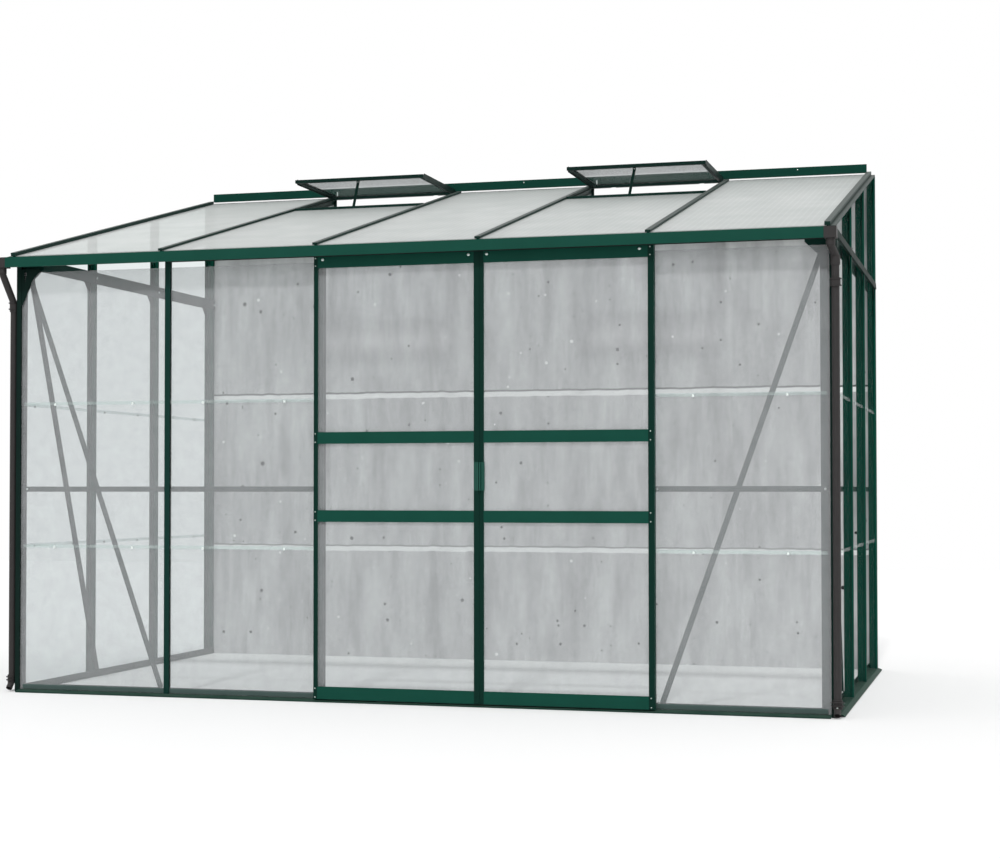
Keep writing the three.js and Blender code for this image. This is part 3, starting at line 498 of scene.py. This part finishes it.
# A screw's head, in shares of its radius, and its dome's angles in radians.
DOME_SHARE = 0.55
DOME_ANGLES = (0, 0.4, 0.8, 1.15)
SOCKET_SHARE = 0.34
SOCKET_RIM_SHARE = 0.5
SOCKET_FLOOR_SHARE = 0.2
HEAD_SUNK = 0.2


def nut(place, way):
    """A washer, a six sided nut and the end of its bolt, on a face that looks along way."""
    parts = [
        turned(WASHER, place, way),
        turned(NUT_BODY, place, way, sides=6),
        turned(BOLT_END, place, way, sides=12),
    ]
    return [([place + (c - place) * NUT_SIZE for c in corners], faces) for corners, faces in parts]


def screw(place, way, radius):
    """A domed screw with a socket in its head."""
    dome = [(radius * math.cos(a), radius * DOME_SHARE * math.sin(a)) for a in DOME_ANGLES]
    inner = radius * SOCKET_SHARE
    socket = [(inner, radius * SOCKET_RIM_SHARE), (inner, radius * SOCKET_FLOOR_SHARE)]
    return [turned([(radius, -HEAD_SUNK)] + dome + socket, place, way)]


def all_of(maker, places, way, *sizes):
    """The parts that maker draws at each of the places."""
    return [part for place in places for part in maker(place, way, *sizes)]


print("Nut and screw ready")

# %% Bolts of the front
BRACING_BEHIND = 10.4  # the nuts stand on the bracing, this far behind the glass
RAIL_HEIGHT = 784
NUT_COLUMNS = (20, 1224, 2496, 3081)
SILL_NUTS = ((600, 31), (2500, 31), (3081, 22), (19, 22))
PLATE_SCREWS = (1554, 2794)
PLATE_SCREW_HEIGHT = 2190
PLATE_SCREW_RADIUS = 2.6
PLATE_SCREW_GAP = 0.05
PIPE_SCREWS = ((3134, -27.6, 1495, 4.2), (3122, -40.4, 37, 3.0))  # x, y, z and radius

nut_places = [(x, RAIL_HEIGHT) for x in NUT_COLUMNS] + list(SILL_NUTS)
front_bolts = all_of(nut, [at(x, BRACING_BEHIND, z) for x, z in nut_places], FRONT)
plate_face = measured("wall_plate")[0].y - PLATE_SCREW_GAP
plate_places = [at(x, plate_face, PLATE_SCREW_HEIGHT) for x in PLATE_SCREWS]
front_bolts += all_of(screw, plate_places, FRONT, PLATE_SCREW_RADIUS)
for x, y, z, radius in PIPE_SCREWS:
    front_bolts += screw(at(x, y, z), FRONT, radius)
gathered("bolts_front", front_bolts, zinc, "greenhouse")
print(len(nut_places), "front nuts")

# %% Bolts of the ends
END_NUT_IN = 13.3
END_NUT_ROWS = (38, BAY, 2 * BAY, DEPTH + 12)
END_NUT_HEIGHTS = (RAIL_HEIGHT, 1669.5)
end_nuts = []
for x, way in ((END_NUT_IN, RIGHT), (WIDTH - END_NUT_IN, LEFT)):
    end_nuts += all_of(nut, [at(x, y, z) for y in END_NUT_ROWS for z in END_NUT_HEIGHTS], way)
gathered("bolts_ends", end_nuts, zinc, "greenhouse")

WALL_POST_OUT = 25
WALL_POST_SCREW_Y = 1876
WALL_POST_SCREW_HEIGHTS = (120, 760, 1480, 2020)
SMALL_SCREW_RADIUS = 3.2
post_screws = []
for x, way in ((-WALL_POST_OUT, LEFT), (WIDTH + WALL_POST_OUT, RIGHT)):
    post_places = [at(x, WALL_POST_SCREW_Y, z) for z in WALL_POST_SCREW_HEIGHTS]
    post_screws += all_of(screw, post_places, way, SMALL_SCREW_RADIUS)
gathered("screws_wall_posts", post_screws, zinc, "greenhouse")
print(2 * len(END_NUT_ROWS) * len(END_NUT_HEIGHTS), "end nuts and", len(post_screws), "wall post screws")

# %% Door screws
DOOR_FACE = -35
MOULDING_HIGH = 1.2
TOP_RAIL_SCREW_HEIGHT = 1633
TOP_RAIL_SCREW_RADIUS = 6.0
TOP_RAIL_SCREWS = {"left": (1256.5, 1816.6), "right": (1885, 2443)}
STILE_SCREW_RADIUS = 2.2
STILE_SCREW_X = {"left": 1229, "right": 2481}
STILE_SCREW_HEIGHTS = (1638, 1610, 988, 957, 700, 669, 50.7, 18.2)
for side, columns in TOP_RAIL_SCREWS.items():
    rail_places = [at(x, DOOR_FACE, TOP_RAIL_SCREW_HEIGHT) for x in columns]
    screws = all_of(screw, rail_places, FRONT, TOP_RAIL_SCREW_RADIUS)
    stile_places = [at(STILE_SCREW_X[side], DOOR_FACE - MOULDING_HIGH, z) for z in STILE_SCREW_HEIGHTS]
    screws += all_of(screw, stile_places, FRONT, STILE_SCREW_RADIUS)
    gathered(f"screws_door_{side}", screws, zinc, f"door_{side}", smooth=True)
    print(len(screws), "screws on the", side, "door")

# %% [markdown]
# ## Stile mouldings
# The upright stiles of a sliding door are narrow box sections with a rounded front, darker to the eye
# than the flat rails between them, because the rounded front catches less light. Each is drawn as a thin
# moulding that runs the whole height of a leaf, in a darker copy of the door coat: painted shade for the
# rounded front, which a piece of its own can carry apart from the frame.

# %% Stile mouldings
LEAF_FOOT = 11.3
LEAF_HEAD = 1644.7
MOULDING_EDGE = 0.7
STILE_SPANS = {
    "left": ((1222.7, 1236.8), (1836.7, 1857.8)),
    "right": ((1858.7, 1872.8), (2472.7, 2493.8)),
}
for side, spans in STILE_SPANS.items():
    mouldings = []
    for left, right in spans:
        wide = right - left
        rise = [(0, 0), (0, MOULDING_EDGE), (MOULDING_HIGH, MOULDING_HIGH)]
        fall = [(wide - MOULDING_HIGH, MOULDING_HIGH), (wide, MOULDING_EDGE), (wide, 0)]
        foot, head = at(left, DOOR_FACE, LEAF_FOOT), at(left, DOOR_FACE, LEAF_HEAD)
        mouldings.append(extrusion(rise + fall, foot, head, RIGHT, FRONT))
    gathered(f"stile_shaded_mouldings_{side}", mouldings, stile_shaded_coat, f"door_{side}")
print("Stile mouldings on both doors")

# %% [markdown]
# ## Joints between panes
# A bay is too tall for one sheet, so three sheets stand on each other. Where two meet they are lapped,
# the upper one outside, and small clips carry the upper sheet, white in front and grey at the ends.
# A clear strip covers the lap. The strips are pieces of their own, so that they can catch the light.

# %% Clips and joint strips
JOINT_HEIGHTS = (562, 1113)
GLAZED_FRONT = ((0, 12, 616), (1, 624, 1236), (4, 2484, 3088))  # bay, left and right edge of its glass
END_GLASS = 17  # the end panes' outer faces lie this far outside the bay lines
GLASS_GAP = 0.1
STRIP = [(0, 0), (1.2, 0), (1.2, 9.5), (0.5, 12), (0, 12)]
STRIP_BELOW = 4
CLIP = [(-3.5, -4), (3.5, -4), (3.5, 3), (2, 5), (-2, 5), (-3.5, 3)]
CLIP_BELOW = 2
CLIP_BEHIND = 1.4
CLIP_THICK = 2.4
CLIP_IN = 146
POST_EDGE = 14
END_STRIP_GAP = 4


def clip(place, way, across):
    """A glazing clip in front of a strip, on a face that looks along way."""
    back = place + Vector(way) * CLIP_BEHIND * MM
    return extrusion(CLIP, back, back + Vector(way) * CLIP_THICK * MM, across, UP)


def clip_places(bay):
    """Where the two clips of a joint stand along a wall."""
    return bay * BAY + CLIP_IN, (bay + 1) * BAY - CLIP_IN


def end_bay(bay, beside):
    """From where to where an end bay reaches between its bars, which beside keeps clear."""
    near = POST_EDGE if bay == 0 else bay * BAY + beside
    return near, (bay + 1) * BAY - beside


clips, strips = [], []
for bay, left, right in GLAZED_FRONT:
    for z in JOINT_HEIGHTS:
        clips += [clip(at(x, 0, z - CLIP_BELOW), FRONT, RIGHT) for x in clip_places(bay)]
        start, end = [at(x, -GLASS_GAP, z - STRIP_BELOW) for x in (left, right)]
        strips.append(extrusion(STRIP, start, end, FRONT, UP))
gathered("clips_front", clips, clip_plastic, "greenhouse")

end_clips, end_strips = [], []
for outer, way in ((-END_GLASS - GLASS_GAP, LEFT), (WIDTH + END_GLASS + GLASS_GAP, RIGHT)):
    for bay in range(BAYS_DEEP):
        for z in JOINT_HEIGHTS:
            end_clips += [clip(at(outer, y, z - CLIP_BELOW), way, BACK) for y in clip_places(bay)]
            start, end = [at(outer, y, z - STRIP_BELOW) for y in end_bay(bay, END_STRIP_GAP)]
            end_strips.append(extrusion(STRIP, start, end, way, UP))
gathered("clips_ends", end_clips, clip_grey, "greenhouse")
print(len(clips) + len(end_clips), "clips")

# %% Clear strip material
strip_vinyl = pane("extruded_vinyl_clear", 0.13, "#dfe4e3", "#f6faf9", roughness=0.2, mottle=0.05)
gathered("joint_strips_front", strips, strip_vinyl, "greenhouse")
gathered("joint_strips_ends", end_strips, strip_vinyl, "greenhouse")
print(len(strips) + len(end_strips), "joint strips")

# %% [markdown]
# ## Gaskets
# A rubber bead is pressed between each bar's cap and the glass. Only its edge shows, as a thin dark
# line beside the cap, but without it the bars look as if they float on the panes. A straight run of a
# small box is enough for it. Where a bar has no fixed pane on one side, it has no bead there.

# %% Gaskets
BEAD = [(-1.4, -0.1), (1.4, -0.1), (1.4, 0.9), (-1.4, 0.9)]
BEAD_FOOT = 12
FRONT_BEAD_SHORT = 4  # a bead ends this far below its bar's top
END_BEAD_SHORT = 8
CAP_HALF = 10.5
FRONT_BEAD_SIDES = ((1, -1), (1, 1), (2, -1), (4, 1))  # bay line, and -1 for its left or 1 for its right
WALL_SIDES = (("left", -END_GLASS, LEFT), ("right", WIDTH + END_GLASS, RIGHT))
beads = []
bead_head = measured("front_bar")[1].z - FRONT_BEAD_SHORT
for line, side in FRONT_BEAD_SIDES:
    x = line * BAY + side * CAP_HALF
    beads.append(extrusion(BEAD, at(x, 0, BEAD_FOOT), at(x, 0, bead_head), RIGHT, FRONT))
for end_name, outer, way in WALL_SIDES:
    for line in range(1, BAYS_DEEP):
        bead_head = measured(f"end_bar_{end_name}_{line}")[1].z - END_BEAD_SHORT
        for y in (line * BAY - CAP_HALF, line * BAY + CAP_HALF):
            beads.append(extrusion(BEAD, at(outer, y, BEAD_FOOT), at(outer, y, bead_head), BACK, way))
gathered("gaskets_walls", beads, gasket_rubber, "greenhouse")
print(len(beads), "gaskets")

# %% [markdown]
# ## Drip ledges on the end walls
# At the height of the eaves a level bar with a sloping face runs across each end wall, outside the upright
# bars. It throws rain off the joint under the roof's triangle, and a small gusset holds it at the rear of
# each bay. It is drawn as one long nose, with an infill between the bars, so that nothing cuts into them.

# %% Drip ledges
LEDGE_TOP = 1683
LEDGE_HIGH = 28
LEDGE_SPAN = (14, 1884)
CAP_OUT = 8.3  # as far as the caps of the bars stand out from the glass
NOSE = [(CAP_OUT, 0), (9.2, 0), (10.6, -20), (10.6, -LEDGE_HIGH), (CAP_OUT, -LEDGE_HIGH)]
INFILL = [(0.2, 4), (CAP_OUT, 0), (CAP_OUT, -LEDGE_HIGH), (0.2, -LEDGE_HIGH)]
BESIDE_CAP = 11
GUSSET_LONG = 46
GUSSET_GAP = 0.4
GUSSET_THICK = 2
ledge_foot = LEDGE_TOP - LEDGE_HIGH
GUSSET = [(0, ledge_foot), (-GUSSET_LONG, ledge_foot), (0, ledge_foot - GUSSET_LONG)]
ledges = []
for _, outer, way in WALL_SIDES:
    start, end = [at(outer, y, LEDGE_TOP) for y in LEDGE_SPAN]
    ledges.append(extrusion(NOSE, start, end, way, UP))
    for bay in range(BAYS_DEEP):
        near, far = end_bay(bay, BESIDE_CAP)
        ledges.append(extrusion(INFILL, at(outer, near, LEDGE_TOP), at(outer, far, LEDGE_TOP), way, UP))
        inner_face = at(outer, far, 0) + Vector(way) * GUSSET_GAP * MM
        outer_face = inner_face + Vector(way) * GUSSET_THICK * MM
        ledges.append(extrusion(GUSSET, inner_face, outer_face, BACK, UP))
gathered("drip_ledges", ledges, ledge_coat, "greenhouse")
print(len(ledges), "ledge pieces")

# %% [markdown]
# ## Sill covers, pipe rings and the door brush
# A flat cover clips over the sill in front of each fixed pane. Half rings stiffen the downpipes under
# their top bend and at their foot. A short brush hangs from the gutter and closes the gap over the doors
# wherever they slide. All three are straight runs of a small outline.

# %% Sill covers
COVER = [(0, 12), (1.8, 12), (1.8, 25), (0.6, 29), (0, 29)]
covers = []
for _, left, right in GLAZED_FRONT:
    covers.append(extrusion(COVER, at(left, -GLASS_GAP, 0), at(right, -GLASS_GAP, 0), FRONT, UP))
gathered("sill_covers", covers, sill_cover_coat, "greenhouse")
print(len(covers), "sill covers")

# %% Pipe rings
RING_INNER = 13.7
RING_STEPS = 12
COLLAR_RADIUS = 17.0
COLLAR_HIGH = 28
RIM_RADIUS = 21.0
RIM_HIGH = 4
FOOT_RING_RADIUS = 22.5
FOOT_RING_HEIGHTS = (41, 53)
PIPES = ((-39.5, 8, 205, 1485), (3122, -23, 270, 1480))  # x, y, the angle it looks along, collar's foot


def half_ring(centre, outer, high, middle_angle):
    """Half a ring round a pipe, on the side that looks along middle_angle degrees."""
    degrees = [middle_angle - 90 + 180 * i / RING_STEPS for i in range(RING_STEPS + 1)]
    circle = [(math.cos(math.radians(d)), math.sin(math.radians(d))) for d in degrees]
    outline = [(outer * c, outer * s) for c, s in circle]
    outline += [(RING_INNER * c, RING_INNER * s) for c, s in reversed(circle)]
    return extrusion(outline, centre, centre + Vector(UP) * high * MM, RIGHT, BACK)


rings = []
for x, y, facing, collar in PIPES:
    rings.append(half_ring(at(x, y, collar), COLLAR_RADIUS, COLLAR_HIGH, facing))
    for z in (collar, collar + COLLAR_HIGH - RIM_HIGH):
        rings.append(half_ring(at(x, y, z), RIM_RADIUS, RIM_HIGH, facing))
    for z in FOOT_RING_HEIGHTS:
        rings.append(half_ring(at(x, y, z), FOOT_RING_RADIUS, RIM_HIGH, facing))
gathered("pipe_rings", rings, pipe_vinyl, "greenhouse")
print(len(rings), "pipe rings")

# %% Door brush
BRUSH = [(37.2, 1643), (38.4, 1643), (38.4, 1646.3), (37.2, 1646.3)]
BRUSH_SPAN = (634, 3082)
start, end = [at(x, 0, 0) for x in BRUSH_SPAN]
gathered("door_brush", [extrusion(BRUSH, start, end, FRONT, UP)], gasket_rubber, "greenhouse")
print("Door brush under the gutter")

# %% [markdown]
# ## Brackets, hinge bolts and stay bolts
# On the left a cranked bracket joins the corner post to the gutter, in front of the glass. At the house
# wall a short plate ties the rafter at the left of each vent to the wall, and shows as a dark strip in the
# vent's opening. Short upright bolts stand at the vents' hinges. The bolt at a stay's top rides on the
# vent, and the one at its foot on the stay, so that both go where their carrier goes.

# %% Brackets
BRACKET_FACES = (-2.5, -5.5)
UPRIGHT = [(0, 1500), (6, 1504), (12.4, 1521), (12.1, 1585.5), (11.3, 1634), (11.3, 1640), (0, 1640)]
ARM_TOP = [(11.3, 1640), (76.7, 1640), (76.7, 1628), (47.9, 1601)]
ARM_FOOT = [(12.4, 1521), (12.1, 1585.5), (25.2, 1634), (11.3, 1634)]
RAFTER_PLATE = [(3, 2096), (16, 2096), (16, 2166), (3, 2166)]
RAFTER_PLATE_FACES = (1882, 1879)
RAFTER_PLATE_LINES = (1, 3)
brackets = []
for outline in (UPRIGHT, ARM_TOP + ARM_FOOT):
    start, end = [at(0, y, 0) for y in BRACKET_FACES]
    brackets.append(extrusion(outline, start, end, RIGHT, UP))
for line in RAFTER_PLATE_LINES:
    start, end = [at(line * BAY, y, 0) for y in RAFTER_PLATE_FACES]
    brackets.append(extrusion(RAFTER_PLATE, start, end, RIGHT, UP))
gathered("brackets", brackets, post_coat, "greenhouse")
print(len(brackets), "bracket pieces")

# %% Hinge bolts and stay bolts
HINGE_BOLT = [(2.4, 0), (2.8, 1), (2.8, 20), (1.8, 21)]
HINGE_BOLT_SIDES = 10
HINGE_BOLT_X = (647, 1893, 2453)
HINGE_BOLT_Y = 1858
HINGE_BOLT_Z = 2165.3
STAY_EYE = 6
STAY_PIN_FRONT = 4.2
STAY_TIP_FRONT = 0.1
hinge_places = [at(x, HINGE_BOLT_Y, HINGE_BOLT_Z) for x in HINGE_BOLT_X]
hinge_bolts = [turned(HINGE_BOLT, place, UP, HINGE_BOLT_SIDES) for place in hinge_places]
gathered("hinge_bolts", hinge_bolts, zinc, "greenhouse")
for number in (1, 2):
    low, high = measured(f"vent_stay_{number}")
    pin = screw(at(high.x - STAY_EYE, low.y - STAY_PIN_FRONT, high.z - STAY_EYE), FRONT, SMALL_SCREW_RADIUS)
    gathered(f"stay_bolt_{number}", pin, zinc, f"vent_{number}", smooth=True)
    tip = screw(at(low.x + STAY_EYE, low.y - STAY_TIP_FRONT, low.z + STAY_EYE), FRONT, SMALL_SCREW_RADIUS)
    gathered(f"stay_tip_{number}", tip, zinc, f"stay_{number}", smooth=True)
print(len(hinge_bolts), "hinge bolts")

# %% [markdown]
# ## Studio
# The greenhouse stands on a white studio floor before a pale grey studio backdrop, which gives the glass
# something to show. The backdrop is opaque from the front only: from behind it is see-through, so that
# the back of the greenhouse can be looked at. Behind the open vents it ends lower down.

# %% Floor
FLOOR_HALF_M = 12
FLOOR_FRONT_M = 11.3
FLOOR_DROP_M = 0.0005


def staged(name, corners, material):
    """A flat piece of the studio, which is no part of the greenhouse."""
    piece = new_piece(name, corners, [[0, 1, 2, 3]], material)


def studio_floor():
    """A matt white floor."""
    material, tree = new_material("studio_floor")
    paint = add(tree, "BsdfDiffuse", {"Color": linear("#fafafa")})
    add(tree, "OutputMaterial", {"Surface": paint.outputs[0]})
    return material


floor_front = glass_y - FLOOR_FRONT_M
floor_edges = [(-FLOOR_HALF_M, floor_front), (FLOOR_HALF_M, floor_front)]
floor_edges += [(FLOOR_HALF_M, FLOOR_HALF_M), (-FLOOR_HALF_M, FLOOR_HALF_M)]
staged("floor", [(x, y, -FLOOR_DROP_M) for x, y in floor_edges], studio_floor())
print("Floor staged")

# %% Backdrop
# Pits: cells per metre, how rare a pit is among them, its largest radius as a share of a cell, colour.
PITS = ((11.0, 0.4, 0.12, "#2a2b2c"), (24.0, 0.7, 0.16, "#303132"), (17.0, 0.6, 0.14, "#fdfdfd"))
# Seams: height, half width in millimetres, colour.
SEAMS = ((1238, 5, "#5f6061"), (1222, 13, "#ffffff"), (522, 4, "#8a8b8c"), (507, 12, "#fbfcfc"))
SEAM_RAGGED = 20
SHADE_FROM_M = 1.8
SHADE_FULL_M = 1.88
WALL_Y = 1888
WALL_BESIDE = 5
WALL_TOP = 2162
WALL_TOP_AT_VENTS = 2115
VENT_VIEWS = ((630, 1170), (1862, 2440))


def studio_wall():
    """A mottled grey backdrop with pits, streaks and two pale seams, see-through from behind."""
    material, tree = new_material("studio_wall")
    place = add(tree, "TexCoord").outputs["Object"]
    long = add(tree, "Mapping", {"Vector": place, "Scale": (1.0, 1.0, 0.2)}).outputs[0]
    noise = add(tree, "TexNoise", {"Vector": long, "Scale": 11.0, "Detail": 8.0, "Roughness": 0.68})
    streaks = noise.outputs["Fac"]
    greys = [(0.3, linear("#9c9c9d")), (0.5, linear("#c0c0c1")), (0.7, linear("#dcdddd"))]
    tone = ramp(tree, streaks, greys)
    for cells_per_metre, rare, largest, colour in PITS:
        cells = add(tree, "TexVoronoi", {"Vector": place, "Scale": cells_per_metre, "Randomness": 1.0})
        chance = add(tree, "SeparateColor", {"Color": cells.outputs["Color"]}).outputs[0]
        growing = {"Value": chance, "From Min": rare, "From Max": 1.0, "To Max": largest}
        size = add(tree, "MapRange", growing).outputs[0]
        pit = {0: cells.outputs["Distance"], 1: size}
        inside = add(tree, "Math", pit, operation="LESS_THAN").outputs[0]
        tone = add(tree, "Mix", {0: inside, 6: tone, 7: linear(colour)}, data_type="RGBA").outputs[2]
    height = add(tree, "SeparateXYZ", {"Vector": place}).outputs["Z"]
    wavy = {0: streaks, 1: SEAM_RAGGED * MM, 2: height}
    ragged = add(tree, "Math", wavy, operation="MULTIPLY_ADD").outputs[0]
    for middle, half, colour in SEAMS:
        off = add(tree, "Math", {0: ragged, 1: (middle + SEAM_RAGGED / 2) * MM}, operation="SUBTRACT")
        near = add(tree, "Math", {0: off.outputs[0]}, operation="ABSOLUTE").outputs[0]
        edge = {"Value": near, "From Min": half * 0.7 * MM, "From Max": half * MM}
        edge.update({"To Min": 0.95, "To Max": 0.0})
        line = add(tree, "MapRange", edge).outputs[0]
        tone = add(tree, "Mix", {0: line, 6: tone, 7: linear(colour)}, data_type="RGBA").outputs[2]
    shading = {"Value": height, "From Min": SHADE_FROM_M, "From Max": SHADE_FULL_M, "To Max": 0.5}
    shade = add(tree, "MapRange", shading).outputs[0]
    shaded = add(tree, "Mix", {0: shade, 6: tone, 7: linear("#6f7272")}, data_type="RGBA")
    paint = add(tree, "BsdfDiffuse", {"Color": shaded.outputs[2]})
    clear = add(tree, "BsdfTransparent")
    behind = add(tree, "NewGeometry").outputs["Backfacing"]
    both = add(tree, "MixShader", {0: behind, 1: paint.outputs[0], 2: clear.outputs[0]})
    add(tree, "OutputMaterial", {"Surface": both.outputs[0]})
    return material


backdrop = studio_wall()
edges = [-WALL_BESIDE, *[x for view in VENT_VIEWS for x in view], WIDTH + WALL_BESIDE]
for number, (left, right) in enumerate(zip(edges, edges[1:]), start=1):
    top = WALL_TOP_AT_VENTS if (left, right) in VENT_VIEWS else WALL_TOP
    corners = [at(x, WALL_Y, z) for x, z in ((left, 0), (right, 0), (right, top), (left, top))]
    staged(f"backdrop_{number}", corners, backdrop)
print(len(edges) - 1, "backdrop pieces staged")

# %% [markdown]
# ## Light
# The light in the photograph is soft and comes from all sides, as under an overcast sky. So the studio's
# white world does most of the work, and a weak sun from the front, wider than the real one, adds a soft
# shadow. To the eye, in mirrors and through glass the world is pure white. As a light it is weaker.

# %% Light
WORLD_STRENGTH = 0.75
WORLD_WHITE = 1.0
SUN_STRENGTH = 1.5
SUN_WIDTH = math.radians(4.5)
SUN_TILT = math.radians(42)
SUN_TURN = math.radians(4)

world = bpy.data.worlds.new("studio")
world.use_nodes = True
sky = world.node_tree
sky.nodes.clear()
path = add(sky, "LightPath").outputs
eye_or_mirror = add(sky, "Math", {0: path["Is Camera Ray"], 1: path["Is Glossy Ray"]}, operation="MAXIMUM")
rays = {0: eye_or_mirror.outputs[0], 1: path["Is Transmission Ray"]}
seen = add(sky, "Math", rays, operation="MAXIMUM").outputs[0]
soft = add(sky, "Background", {"Color": linear("#ffffff"), "Strength": WORLD_STRENGTH})
white = add(sky, "Background", {"Color": linear("#ffffff"), "Strength": WORLD_WHITE})
both = add(sky, "MixShader", {0: seen, 1: soft.outputs[0], 2: white.outputs[0]})
add(sky, "OutputWorld", {"Surface": both.outputs[0]})
bpy.context.scene.world = world

sun_data = bpy.data.lights.new("sun", "SUN")
sun_data.energy = SUN_STRENGTH
sun_data.angle = SUN_WIDTH
sun = bpy.data.objects.new("sun", sun_data)
sun.rotation_euler = (SUN_TILT, 0, SUN_TURN)
bpy.context.scene.collection.objects.link(sun)
bpy.context.scene.view_settings.view_transform = "Standard"
print("Sun strength", SUN_STRENGTH)
